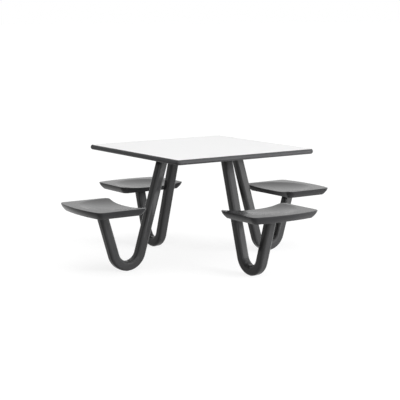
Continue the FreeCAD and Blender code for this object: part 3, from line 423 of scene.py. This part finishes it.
tubeTree = makeTubeTree()
lean = math.radians(legValues["lean"])
vertexZ = endPlateBase - (axisX - footX) / math.tan(lean)
armPoints = [(axisX, 0, endPlateBase), (footX, 0, vertexZ), (armTopX, 0, topPlateBase)]
for side, angle in sides.items():
    tube = runTree(f"legTube_{side}", tubeTree, edgeMesh("path", turned(armPoints, angle)), {
        "Side": tubeSide, "Corner radius": legValues["cornerRadius"],
        "Corner steps": legValues["cornerSteps"], "Bend radius": legValues["bendRadius"],
        "Bend steps": legValues["bendSteps"], "Outer end height": endPlateBase,
        "Inner end height": topPlateBase, "Finish": materials["frame_paint"]})
    evenNormals(tube)
    fit(tube, "root", "frame_paint", f"leg_tube_{side}")
print("legs made:", len(tube.data.polygons), "faces each")


# seats: dished shells with walls that lean in below a thin rim
seatValues = {
    "width": 0.509, "frontReach": 0.195, "backReach": 0.159, "frontRise": 0.0285, "backRise": 0.033,
    "rimCorner": 0.038, "depth": 0.0465, "sideSlope": 0.030, "frontSlope": 0.031, "backSlope": 0.0185,
    "leanPower": 1.7, "footFrontRise": 0.003, "footBackRise": 0.021, "footCorner": 0.030,
    "bowlStart": -0.120, "bowlReach": 0.256, "bowlHalf": 0.231, "bowlPower": 2.8, "bowlEase": 1.1,
    "bowlFall": ((-0.221, 0.016), (-0.11, 0.0175), (0.0, 0.0175), (0.11, 0.0150)),
    "bowlCentre": (-0.012, 0.0), "rimRoll": 0.0025, "rollSteps": 4, "rollAngle": 35,
    "hollow": 0.017, "wall": 0.006, "roofWallShare": 0.85, "wallSamples": 200,
    "outlineSteps": (30, 9, 40, 40),  # along a side, round a corner, across the front and the back
    # rings of points: shares of the way out over the bowl, down the wall and in under the roof
    "bowlRings": (*np.linspace(0.05, 0.75, 15), *np.linspace(0.77, 0.99, 20)),
    "wallRings": (0.05, 0.14, 0.26, 0.40, 0.55, 0.70, 0.84, 0.95, 1.0), "roofRings": (0.9, 0.6, 0.3),
}


def outline(half, front, back, frontRise, backRise, corner):
    # points of the seat's plan outline, about its own axis, +X outwards
    flat = half - corner
    frontBow = (half ** 2 + frontRise ** 2) / (2 * frontRise)
    backBow = (half ** 2 + backRise ** 2) / (2 * backRise)
    frontCentre = -(front - frontRise + frontBow)
    backCentre = back + backRise - backBow
    frontReach = math.sqrt((frontBow + corner) ** 2 - flat ** 2)
    backReach = math.sqrt((backBow - corner) ** 2 - flat ** 2)
    frontSwing = math.atan2(flat, frontReach)
    backSwing = math.atan2(flat, backReach)
    frontX, backX = frontCentre + frontReach, backCentre + backReach
    sideSteps, cornerSteps, frontSteps, backSteps = seatValues["outlineSteps"]

    def arc(x, y, radius, first, last, count):
        return [(x + radius * math.cos(first + (last - first) * i / count),
                 y + radius * math.sin(first + (last - first) * i / count)) for i in range(count)]

    def line(start, end, count):
        return [(start[0] + (end[0] - start[0]) * i / count, start[1] + (end[1] - start[1]) * i / count)
                for i in range(count)]

    points = line((backX, half), (frontX, half), sideSteps)
    points += arc(frontX, flat, corner, math.pi / 2, math.pi + frontSwing, cornerSteps)
    points += arc(frontCentre, 0, frontBow, frontSwing, -frontSwing, frontSteps)
    points += arc(frontX, -flat, corner, math.pi - frontSwing, 1.5 * math.pi, cornerSteps)
    points += line((frontX, -half), (backX, -half), sideSteps)
    points += arc(backX, -flat, corner, -math.pi / 2, -backSwing, cornerSteps)
    points += arc(backCentre, 0, backBow, -backSwing, backSwing, backSteps)
    points += arc(backX, flat, corner, backSwing, math.pi / 2, cornerSteps)
    return np.array(points)


def wallLoop(depthShare):
    # plan outline of the wall at a share of its depth below the rim
    v = seatValues
    leaning = depthShare ** v["leanPower"]

    def between(top, foot):
        return v[top] + (v[foot] - v[top]) * leaning

    return outline(v["width"] / 2 - v["sideSlope"] * leaning, v["frontReach"] - v["frontSlope"] * leaning,
                   v["backReach"] - v["backSlope"] * leaning, between("frontRise", "footFrontRise"),
                   between("backRise", "footBackRise"), between("rimCorner", "footCorner"))


def dishDepth(points):
    # how far the top lies below the rim's level: an oval bowl that runs out over the edge facing the table
    v = seatValues
    stations, depths = np.array(v["bowlFall"]).T
    fall = np.polyfit(stations, depths, 3)  # a cubic through the four stations
    beyond = np.maximum(points[:, 0] - v["bowlStart"], 0) / v["bowlReach"]
    out = np.hypot(beyond, points[:, 1] / v["bowlHalf"])
    share = np.maximum(1 - out ** v["bowlPower"], 0) ** v["bowlEase"]
    return np.polyval(fall, np.clip(points[:, 0], stations[0], stations[-1])) * share


def inset(loop, amount):
    # every point of a closed outline moved inwards, square to the line through its neighbours
    direction = np.roll(loop, -1, axis=0) - np.roll(loop, 1, axis=0)
    normal = np.column_stack([-direction[:, 1], direction[:, 0]])
    normal /= np.linalg.norm(normal, axis=1)[:, None]
    return loop + normal * amount


def makeSeatMesh():
    v = seatValues
    shares = np.linspace(0, 1, v["wallSamples"])
    walls = np.array([wallLoop(share) for share in shares])
    count = walls.shape[1]
    # where each wall line meets the dished top
    gap = np.array([share * v["depth"] - dishDepth(wall) for share, wall in zip(shares, walls)])
    start = np.array([np.interp(0.0, gap[:, i], shares) for i in range(count)])

    def wallPlan(share):
        return np.array([[np.interp(share[i], shares, walls[:, i, axis]) for axis in range(2)]
                         for i in range(count)])

    def ring(plan, height):
        return np.column_stack([plan, np.full(count, height)])

    edge = wallPlan(start)
    centre = np.array(v["bowlCentre"])
    loops = []
    for scale in v["bowlRings"]:
        plan = centre + (edge - centre) * scale
        loops.append(ring(plan, seatRimZ - dishDepth(plan)))
    loops.append(ring(edge, seatRimZ - start * v["depth"]))
    for step in v["wallRings"]:
        share = start + (1 - start) * step
        loops.append(ring(wallPlan(share), seatRimZ - share * v["depth"]))
    footZ = seatRimZ - v["depth"]
    roofZ = footZ + v["hollow"]
    roof = inset(walls[-1], v["wall"] * v["roofWallShare"])
    loops.append(ring(inset(walls[-1], v["wall"]), footZ))
    for scale in (1.0, *v["roofRings"]):
        loops.append(ring(roof * scale, roofZ))

    mesh = bpy.data.meshes.new("seatShell")
    faces = []
    for row in range(len(loops) - 1):
        for i in range(count):
            j = (i + 1) % count
            faces.append((row * count + i, (row + 1) * count + i, (row + 1) * count + j, row * count + j))
    # a fan of triangles closes the bowl's middle and the roof's middle
    last = (len(loops) - 1) * count
    bowlMiddle = len(loops) * count
    for i in range(count):
        j = (i + 1) % count
        faces.append((bowlMiddle, i, j))
        faces.append((bowlMiddle + 1, last + j, last + i))
    bowlZ = seatRimZ - dishDepth(centre[None, :])[0]
    vertices = np.vstack([*loops, [*centre, bowlZ], [0, 0, roofZ]])
    mesh.from_pydata([tuple(point) for point in vertices], [], faces)
    mesh.validate()
    return mesh


seatMesh = makeSeatMesh()
seatTurns = {side: Matrix.Rotation(math.radians(angle), 4, "Z") @ Matrix.Translation((axisX, 0, 0))
             for side, angle in sides.items()}
for side in sides:
    mesh = seatMesh.copy()
    mesh.transform(seatTurns[side])
    seat = newPiece(f"seatShell_{side}", mesh)
    mesh.materials.append(materials["seat_plastic"])
    easeEdges(seat, seatValues["rimRoll"], seatValues["rollSteps"], seatValues["rollAngle"])
    fit(seat, f"seat_{side}", "seat_plastic", f"seat_shell_{side}")
print("seats made:", len(seat.data.polygons), "faces each")


# ribs under the seats: a frame of four round the seat plate, and short ones from it to the walls
ribValues = {"frameWidth": 0.005, "frameDepth": 0.013, "shortWidth": 0.0028, "shortDepth": 0.008,
             "draft": 0.7, "frameX": 0.0945, "frameY": 0.1145, "shortX": (-0.048, 0.0, 0.048),
             "shortY": (-0.075, 0.0, 0.075), "edgeRadius": 0.0005}


def makeRibTree():
    tree, given = newTree("GeometryNodeTree", "mouldedRibs", {
        "Lines": ("Geometry", None), "Root width": ("Float", 0.005), "Crest width": ("Float", 0.004),
        "Depth": ("Float", 0.01), "Finish": ("Material", None)}, {"Geometry": "Geometry"})
    line = addNode(tree, "GeometryNodeMeshToCurve", {"Mesh": given["Lines"]})
    level = addNode(tree, "GeometryNodeSetCurveNormal", {"Curve": line.outputs[0]}, mode="Z_UP")
    section = addNode(tree, "GeometryNodeCurvePrimitiveQuadrilateral", {
        "Offset": 0.0, "Height": given["Depth"], "Bottom Width": given["Root width"],
        "Top Width": given["Crest width"]}, mode="TRAPEZOID")
    rib = addNode(tree, "GeometryNodeCurveToMesh", {"Curve": level.outputs[0],
                                                    "Profile Curve": section.outputs[0], "Fill Caps": True})
    closeTree(tree, rib.outputs[0], given["Finish"])
    return tree


def ribLines(depth, frameRibs):
    # pairs of end points about the seat's axis, at half the ribs' depth; each end lies inside the wall
    v, r = seatValues, ribValues
    half = v["width"] / 2 - v["sideSlope"]
    bow = (half ** 2 + v["footBackRise"] ** 2) / (2 * v["footBackRise"])
    bowCentre = v["backReach"] - v["backSlope"] + v["footBackRise"] - bow
    front = -(v["frontReach"] - v["frontSlope"] - v["footFrontRise"] - v["wall"] / 2)
    side = half - v["wall"] / 2
    z = seatRoof - depth / 2

    def back(y):
        return bowCentre + math.sqrt(bow ** 2 - y ** 2) - v["wall"] / 2

    lines = []
    if frameRibs:
        for sign in (-1, 1):
            lines += [(sign * r["frameX"], -side, z), (sign * r["frameX"], side, z)]
            lines += [(front, sign * r["frameY"], z), (back(r["frameY"]), sign * r["frameY"], z)]
        return lines
    for sign in (-1, 1):
        for x in r["shortX"]:
            lines += [(x, sign * r["frameY"], z), (x, sign * side, z)]
    for y in r["shortY"]:
        lines += [(front, y, z), (-r["frameX"], y, z), (r["frameX"], y, z), (back(y), y, z)]
    return lines


def lineMesh(points):
    mesh = bpy.data.meshes.new("lines")
    mesh.from_pydata([tuple(point) for point in points], [(i, i + 1) for i in range(0, len(points), 2)], [])
    return mesh


ribTree = makeRibTree()
for side in sides:
    for name, width, depth, frameRibs in (
            ("seatFrameRibs", ribValues["frameWidth"], ribValues["frameDepth"], True),
            ("seatShortRibs", ribValues["shortWidth"], ribValues["shortDepth"], False)):
        lines = lineMesh(ribLines(depth, frameRibs))
        lines.transform(seatTurns[side])
        ribs = runTree(f"{name}_{side}", ribTree, lines, {
            "Root width": width, "Crest width": width * ribValues["draft"], "Depth": depth,
            "Finish": materials["seat_plastic"]})
        easeEdges(ribs, ribValues["edgeRadius"])
        fit(ribs, f"seat_{side}", "seat_plastic")
print("ribs made")


# edge moulding: one T-shaped section carried round the core
trimValues = {"land": 0.003, "crease": 0.0012, "creaseSteps": 5, "noseSteps": 18, "barbThick": 0.003,
              "barbReach": 0.009, "barbGap": 0.0002, "teeth": 4, "toothDepth": 0.0011, "toothedShare": 0.8,
              "toothSlope": 0.14, "pathRadius": 0.013, "cornerSteps": 14}


def makeTrimTree():
    tree, given = newTree("GeometryNodeTree", "edgeTrim", {
        "Path": ("Geometry", None), "Section": ("Object", None), "Finish": ("Material", None)},
        {"Geometry": "Geometry"})
    line = addNode(tree, "GeometryNodeMeshToCurve", {"Mesh": given["Path"]})
    level = addNode(tree, "GeometryNodeSetCurveNormal", {"Curve": line.outputs[0]}, mode="Z_UP")
    drawing = addNode(tree, "GeometryNodeObjectInfo", {"Object": given["Section"]})
    section = addNode(tree, "GeometryNodeMeshToCurve", {"Mesh": drawing.outputs["Geometry"]})
    trim = addNode(tree, "GeometryNodeCurveToMesh", {"Curve": level.outputs[0],
                                                     "Profile Curve": section.outputs[0],
                                                     "Fill Caps": False})
    closeTree(tree, trim.outputs[0], given["Finish"])
    return tree


def trimSection():
    # X away from the core, Y from the middle of the top's thickness; upper half first, then its mirror
    v = trimValues
    half = (topHigh.z - topLow.z) / 2
    reach = topHigh.x - coreHalf
    radius = (half ** 2 + (reach - v["land"]) ** 2) / (2 * (reach - v["land"]))
    centre = reach - radius
    first = math.asin(half / radius) - v["crease"] / radius
    toothTop = v["barbThick"] / 2
    toothFoot = toothTop - v["toothDepth"] / 2
    upper = []
    for tooth in range(v["teeth"]):
        near = -v["barbReach"] + v["barbReach"] * v["toothedShare"] * tooth / v["teeth"]
        upper += [(near, toothFoot), (near + v["barbReach"] * v["toothSlope"], toothTop)]
    upper += [(-v["barbGap"], toothFoot), (0.0, toothTop), (0.0, half)]
    # the crease is a short curve from the flat land into the round nose
    crease = [Vector((v["land"] - v["crease"], half)), Vector((v["land"], half)),
              Vector((centre + radius * math.cos(first), radius * math.sin(first)))]
    for step in range(v["creaseSteps"] + 1):
        share = step / v["creaseSteps"]
        upper.append(tuple((1 - share) ** 2 * crease[0] + 2 * share * (1 - share) * crease[1]
                           + share ** 2 * crease[2]))
    for step in range(1, v["noseSteps"]):
        angle = first * (1 - step / v["noseSteps"])
        upper.append((centre + radius * math.cos(angle), radius * math.sin(angle)))
    lower = [(x, -y) for x, y in reversed(upper)]
    return upper + [(reach, 0.0)] + lower


topMiddleZ = (topLow.z + topHigh.z) / 2
coreLoop = roundedLoop(2 * coreHalf, 2 * coreHalf, trimValues["pathRadius"], trimValues["cornerSteps"])
corePath = [(x, y, topMiddleZ) for x, y in coreLoop]
sectionPoints = [(x, y, 0) for x, y in reversed(trimSection())]
sectionDrawing = newPiece("section", edgeMesh("section", sectionPoints, closed=True))
trim = runTree("edgeTrim", makeTrimTree(), edgeMesh("path", corePath, closed=True), {
    "Section": sectionDrawing, "Finish": materials["edge"]})
bpy.data.objects.remove(sectionDrawing)
evenNormals(trim)
fit(trim, "root", "edge", "edge_moulding")
print("edge moulding made:", len(trim.data.polygons), "faces")


# screws: a domed head with a hexagon socket and a threaded shank, one turned shape at each place
screwValues = {
    "top": {"head": 0.0140, "headHeight": 0.0044, "shank": 0.008, "length": 0.024, "pitch": 0.0020,
            "socket": 0.0050, "socketDepth": 0.0022, "steps": 24, "seed": 5},
    "seat": {"head": 0.0110, "headHeight": 0.0033, "shank": 0.006, "length": 0.014, "pitch": 0.0016,
             "socket": 0.0040, "socketDepth": 0.0018, "steps": 24, "seed": 9},
    "topAlong": 0.070, "topAcross": 0.058, "seatAlong": 0.058, "seatAcross": 0.072, "latheRadius": 0.001,
    "joinDistance": 0.000002, "sharpAngle": 35,
    # shares of the head's radius and height, then of the pitch, and lengths left without thread
    "flatShare": 0.62, "rimShare": 0.22, "rimEase": 0.4, "domeSteps": 8, "threadDepth": 0.45,
    "tipDepths": (0.3, 0.8), "plainStart": 0.003, "plainLength": 0.004, "tipLength": 0.0005,
}


def makeScrewTree():
    tree, given = newTree("GeometryNodeTree", "socketScrews", {
        "Places": ("Geometry", None), "Outline": ("Object", None), "Lathe radius": ("Float", 0.001),
        "Steps": ("Int", 24), "Socket width": ("Float", 0.005), "Socket depth": ("Float", 0.002),
        "Head height": ("Float", 0.004), "Seed": ("Int", 1), "Finish": ("Material", None)},
        {"Geometry": "Geometry"})
    path = addNode(tree, "GeometryNodeCurvePrimitiveCircle", {
        "Resolution": given["Steps"], "Radius": given["Lathe radius"]}, mode="RADIUS")
    level = addNode(tree, "GeometryNodeSetCurveNormal", {"Curve": path.outputs[0]}, mode="Z_UP")
    drawing = addNode(tree, "GeometryNodeObjectInfo", {"Object": given["Outline"]})
    outlineCurve = addNode(tree, "GeometryNodeMeshToCurve", {"Mesh": drawing.outputs["Geometry"]})
    turnedShape = addNode(tree, "GeometryNodeCurveToMesh", {"Curve": level.outputs[0],
                                                            "Profile Curve": outlineCurve.outputs[0]})
    whole = addNode(tree, "GeometryNodeMergeByDistance", {"Geometry": turnedShape.outputs[0],
                                                          "Distance": screwValues["joinDistance"]})
    across = maths(tree, "DIVIDE", given["Socket width"], math.sqrt(3))
    deep = maths(tree, "MULTIPLY", given["Socket depth"], 2.0)
    key = addNode(tree, "GeometryNodeMeshCylinder", {"Vertices": 6, "Radius": across, "Depth": deep})
    low = addNode(tree, "ShaderNodeCombineXYZ", {"Z": maths(tree, "MULTIPLY", given["Head height"], -1.0)})
    lowered = addNode(tree, "GeometryNodeTransform", {"Geometry": key.outputs["Mesh"],
                                                      "Translation": low.outputs[0]})
    cut = addNode(tree, "GeometryNodeMeshBoolean", {0: whole.outputs[0], 1: lowered.outputs[0]},
                  operation="DIFFERENCE")
    chance = addNode(tree, "FunctionNodeRandomValue", {3: 2 * math.pi, "Seed": given["Seed"]},
                     data_type="FLOAT")
    aim = addNode(tree, "ShaderNodeCombineXYZ", {"Z": chance.outputs[1]})
    spin = addNode(tree, "FunctionNodeEulerToRotation", {0: aim.outputs[0]})
    row = addNode(tree, "GeometryNodeInstanceOnPoints", {
        "Points": given["Places"], "Instance": cut.outputs[0], "Rotation": spin.outputs[0]})
    closeTree(tree, row.outputs[0], given["Finish"])
    return tree


def screwOutline(v):
    # radius and height from the tip of the dome to the end of the thread; the seating face is at height 0
    s = screwValues
    head, rise, shank, pitch, end = v["head"] / 2, v["headHeight"], v["shank"] / 2, v["pitch"], v["length"]
    flat = head * s["flatShare"]
    rim = rise * s["rimShare"]
    points = [(0.0, -rise), (flat, -rise)]
    for step in range(1, s["domeSteps"] + 1):
        angle = math.pi / 2 * step / s["domeSteps"]
        points.append((flat + (head - flat) * math.sin(angle), -rim - (rise - rim) * math.cos(angle)))
    points += [(head, -rim * s["rimEase"]), (head - rim * s["rimEase"], 0.0), (shank, 0.0)]
    for turn in range(int((end - s["plainLength"]) / pitch)):
        height = s["plainStart"] + turn * pitch
        points += [(shank, height), (shank - s["threadDepth"] * pitch, height + pitch / 2)]
    points += [(shank - s["tipDepths"][0] * pitch, end - s["tipLength"]),
               (shank - s["tipDepths"][1] * pitch, end), (0.0, end)]
    return points


def makeScrews(name, v, places, body, node):
    points = [(radius - screwValues["latheRadius"], -height, 0)
              for radius, height in reversed(screwOutline(v))]
    drawing = newPiece("outline", edgeMesh("outline", points))
    dots = bpy.data.meshes.new("places")
    dots.from_pydata([tuple(place) for place in places], [], [])
    screws = runTree(name, screwTree, dots, {
        "Outline": drawing, "Lathe radius": screwValues["latheRadius"], "Steps": v["steps"],
        "Socket width": v["socket"], "Socket depth": v["socketDepth"], "Head height": v["headHeight"],
        "Seed": v["seed"], "Finish": materials["zinc"]})
    bpy.data.objects.remove(drawing)
    screws.data.set_sharp_from_angle(angle=math.radians(screwValues["sharpAngle"]))
    fit(screws, body, "zinc", node)


screwTree = makeScrewTree()
topPlaces = []
for side, angle in sides.items():
    topPlaces += turned([(armTopX + along, across, topPlateBase)
                         for along in (-screwValues["topAlong"], 0, screwValues["topAlong"])
                         for across in (-screwValues["topAcross"], screwValues["topAcross"])], angle)
    seatPlaces = turned([(axisX + along, across, seatPlateBase)
                         for along in (-screwValues["seatAlong"], screwValues["seatAlong"])
                         for across in (-screwValues["seatAcross"], screwValues["seatAcross"])], angle)
    makeScrews(f"seatScrews_{side}", screwValues["seat"], seatPlaces, f"seat_{side}", f"seat_screws_{side}")
makeScrews("topScrews", screwValues["top"], topPlaces, "root", "top_screws")
print("screws made:", len(topPlaces), "under the top and", len(seatPlaces), "under each seat")


# weld beads: a rippled bead round each end of each tube
weldValues = {"topRadius": 0.0030, "endRadius": 0.0011, "rippleLength": 0.0026, "rippleDepth": 0.10,
              "rippleSteps": 4.0, "roundSteps": 10, "unevenness": 0.04, "seed": 4, "cornerSteps": 8}


def makeWeldTree():
    tree, given = newTree("GeometryNodeTree", "weldBead", {
        "Path": ("Geometry", None), "Bead radius": ("Float", 0.002), "Ripple length": ("Float", 0.002),
        "Ripple depth": ("Float", 0.1), "Unevenness": ("Float", 0.05), "Seed": ("Int", 1),
        "Finish": ("Material", None)}, {"Geometry": "Geometry"})
    line = addNode(tree, "GeometryNodeMeshToCurve", {"Mesh": given["Path"]})
    stride = maths(tree, "DIVIDE", given["Ripple length"], weldValues["rippleSteps"])
    even = addNode(tree, "GeometryNodeResampleCurve", {"Curve": line.outputs[0], "Length": stride},
                   mode="LENGTH")
    along = addNode(tree, "GeometryNodeSplineParameter")
    turns = maths(tree, "DIVIDE", along.outputs["Length"], given["Ripple length"])
    wave = maths(tree, "SINE", maths(tree, "MULTIPLY", turns, 2 * math.pi))
    ripple = maths(tree, "MULTIPLY", wave, given["Ripple depth"])
    chance = addNode(tree, "FunctionNodeRandomValue", {2: -1.0, "Seed": given["Seed"]}, data_type="FLOAT")
    drift = maths(tree, "MULTIPLY", chance.outputs[1], given["Unevenness"])
    size = maths(tree, "ADD", maths(tree, "ADD", ripple, drift), 1.0)
    section = addNode(tree, "GeometryNodeCurvePrimitiveCircle", {
        "Resolution": weldValues["roundSteps"], "Radius": given["Bead radius"]}, mode="RADIUS")
    bead = addNode(tree, "GeometryNodeCurveToMesh", {"Curve": even.outputs[0],
                                                     "Profile Curve": section.outputs[0], "Scale": size})
    closeTree(tree, bead.outputs[0], given["Finish"])
    return tree


weldTree = makeWeldTree()
tubeLength = tubeSide / math.cos(lean)  # level section of a leaning tube, along the leg's plane
weldLoop = roundedLoop(tubeLength, tubeSide, legValues["cornerRadius"], weldValues["cornerSteps"])
for side, angle in sides.items():
    for name, centre, height, radius in (("topWeld", armTopX, topPlateBase, weldValues["topRadius"]),
                                         ("endWeld", axisX, endPlateBase, weldValues["endRadius"])):
        path = edgeMesh("path", turned([(centre + x, y, height) for x, y in weldLoop], angle), closed=True)
        weld = runTree(f"{name}_{side}", weldTree, path, {
            "Bead radius": radius, "Ripple length": weldValues["rippleLength"],
            "Ripple depth": weldValues["rippleDepth"], "Unevenness": weldValues["unevenness"],
            "Seed": weldValues["seed"] + angle, "Finish": materials["frame_paint"]})
        fit(weld, "root", "frame_paint")
print("welds made:", 2 * len(sides))


# plates and turned parts keep their own shape, with eased edges
easedNodes = {
    "top_plate": ("root", "frame_paint", 0.0008), "end_plate": ("root", "frame_paint", 0.0007),
    "seat_plate": ("seat", "frame_paint", 0.0006), "foot_glide": ("root", "glide_nylon", 0.0004),
    "spindle": ("seat", "bearing_steel", 0.0004), "bearing_housing": ("root", "bearing_steel", 0.0004),
    "thrust_washer": ("root", "washer_nylon", 0.0003),
}
for side in sides:
    for node, (body, slot, width) in easedNodes.items():
        roundedCopy(f"{node}_{side}", body if body == "root" else f"seat_{side}", slot, width)
print("plates and turned parts eased")


# finishes of the nodes that stay as they are
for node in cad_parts.values():
    for holder in node.material_slots:
        holder.material = materials[holder.material.name.split(".")[0]]


# floor, light and camera
studio = {"sidePlace": (-1.75, -2.20, 1.40), "sideWidth": 2.7, "sideHeight": 0.8, "sideBrightness": 1.7,
          "lowPlace": (0.85, -1.50, 0.23), "lowWidth": 2.4, "lowHeight": 0.42, "lowBrightness": 4.2,
          "frontPlace": (1.05, -1.90, 0.85), "frontWidth": 1.6, "frontHeight": 0.8, "frontBrightness": 2.4,
          "topDirection": (-0.10, -0.30, 1.0), "topStrength": 2.0, "topSpread": 60.0, "aim": (0, 0, 0.5),
          "keyDirection": (0.46, -0.86, 0.22), "keyStrength": 3.8, "keySpread": 40.0,
          "worldForObject": 0.10, "floorColour": 0.20, "floorRoughness": 0.9, "floorGlow": 0.85,
          "floorSize": 400.0}
cameraValues = {"place": (-4.3090, -6.1651, 1.6095), "tilt": 80.91, "turn": -34.95,
                "sensorWidth": 36, "lens": 103.2}


def seenBy(tree, *rays):
    # 1 for the rays named and 0 for the light that falls on the object
    path = addNode(tree, "ShaderNodeLightPath").outputs
    seen = path[f"Is {rays[0]} Ray"]
    for ray in rays[1:]:
        seen = maths(tree, "MAXIMUM", seen, path[f"Is {ray} Ray"])
    return seen


def makeLamp(name, lamp, facing):
    piece = newPiece(name, lamp)
    piece.rotation_euler = facing.to_track_quat("Z", "Y").to_euler()
    return piece


def makeLamps():
    for name in ("side", "low", "front"):
        box = bpy.data.lights.new(f"{name}Box", "AREA")
        box.shape = "RECTANGLE"
        box.size, box.size_y = studio[f"{name}Width"], studio[f"{name}Height"]
        box.energy = studio[f"{name}Brightness"] * math.pi * box.size * box.size_y  # power from brightness
        facing = Vector(studio[f"{name}Place"]) - Vector(studio["aim"])
        if name == "low":
            facing.z = 0  # this one stands upright
        lamp = makeLamp(f"{name}Box", box, facing)
        lamp.location = studio[f"{name}Place"]
        lamp.visible_camera = False
    for name in ("top", "key"):
        sun = bpy.data.lights.new(f"{name}Light", "SUN")
        sun.energy = studio[f"{name}Strength"]
        sun.angle = math.radians(studio[f"{name}Spread"])
        lamp = makeLamp(f"{name}Light", sun, Vector(studio[f"{name}Direction"]))
        lamp.visible_glossy = name == "top"  # the low lamp would glare in the seats from behind


def makeWorld():
    world = bpy.data.worlds.new("studio")
    bpy.context.scene.world = world
    world.use_nodes = True
    tree = world.node_tree
    background = tree.nodes["Background"]
    background.inputs["Color"].default_value = (1, 1, 1, 1)
    level = addNode(tree, "ShaderNodeMapRange", {"Value": seenBy(tree, "Camera", "Glossy", "Transmission"),
                                                 "To Min": studio["worldForObject"], "To Max": 1.0})
    tree.links.new(level.outputs["Result"], background.inputs["Strength"])


def makeFloor():
    half = studio["floorSize"] / 2
    corners = [(-half, -half, 0), (half, -half, 0), (half, half, 0), (-half, half, 0)]
    mesh = bpy.data.meshes.new("floor")
    mesh.from_pydata(corners, [], [(0, 1, 2, 3)])
    material = bpy.data.materials.new("floor")
    material.use_nodes = True
    tree = material.node_tree
    shader = tree.nodes["Principled BSDF"]
    shader.inputs["Base Color"].default_value = (*[studio["floorColour"]] * 3, 1)
    shader.inputs["Roughness"].default_value = studio["floorRoughness"]
    shader.inputs["Specular IOR Level"].default_value = 0.0
    level = maths(tree, "MULTIPLY", seenBy(tree, "Camera", "Glossy"), studio["floorGlow"])
    glow = addNode(tree, "ShaderNodeEmission", {"Color": (1, 1, 1, 1), "Strength": level})
    both = addNode(tree, "ShaderNodeAddShader", {0: shader.outputs[0], 1: glow.outputs[0]})
    tree.links.new(both.outputs[0], tree.nodes["Material Output"].inputs["Surface"])
    mesh.materials.append(material)
    newPiece("floor", mesh)


def makeCamera():
    lens = bpy.data.cameras.new("camera")
    lens.sensor_width = cameraValues["sensorWidth"]
    lens.lens = cameraValues["lens"]
    camera = newPiece("camera", lens)
    camera.location = cameraValues["place"]
    camera.rotation_euler = (math.radians(cameraValues["tilt"]), 0, math.radians(cameraValues["turn"]))
    bpy.context.scene.camera = camera


makeLamps()
makeWorld()
makeFloor()
makeCamera()
bpy.context.scene.view_settings.view_transform = "Standard"
print("studio made")
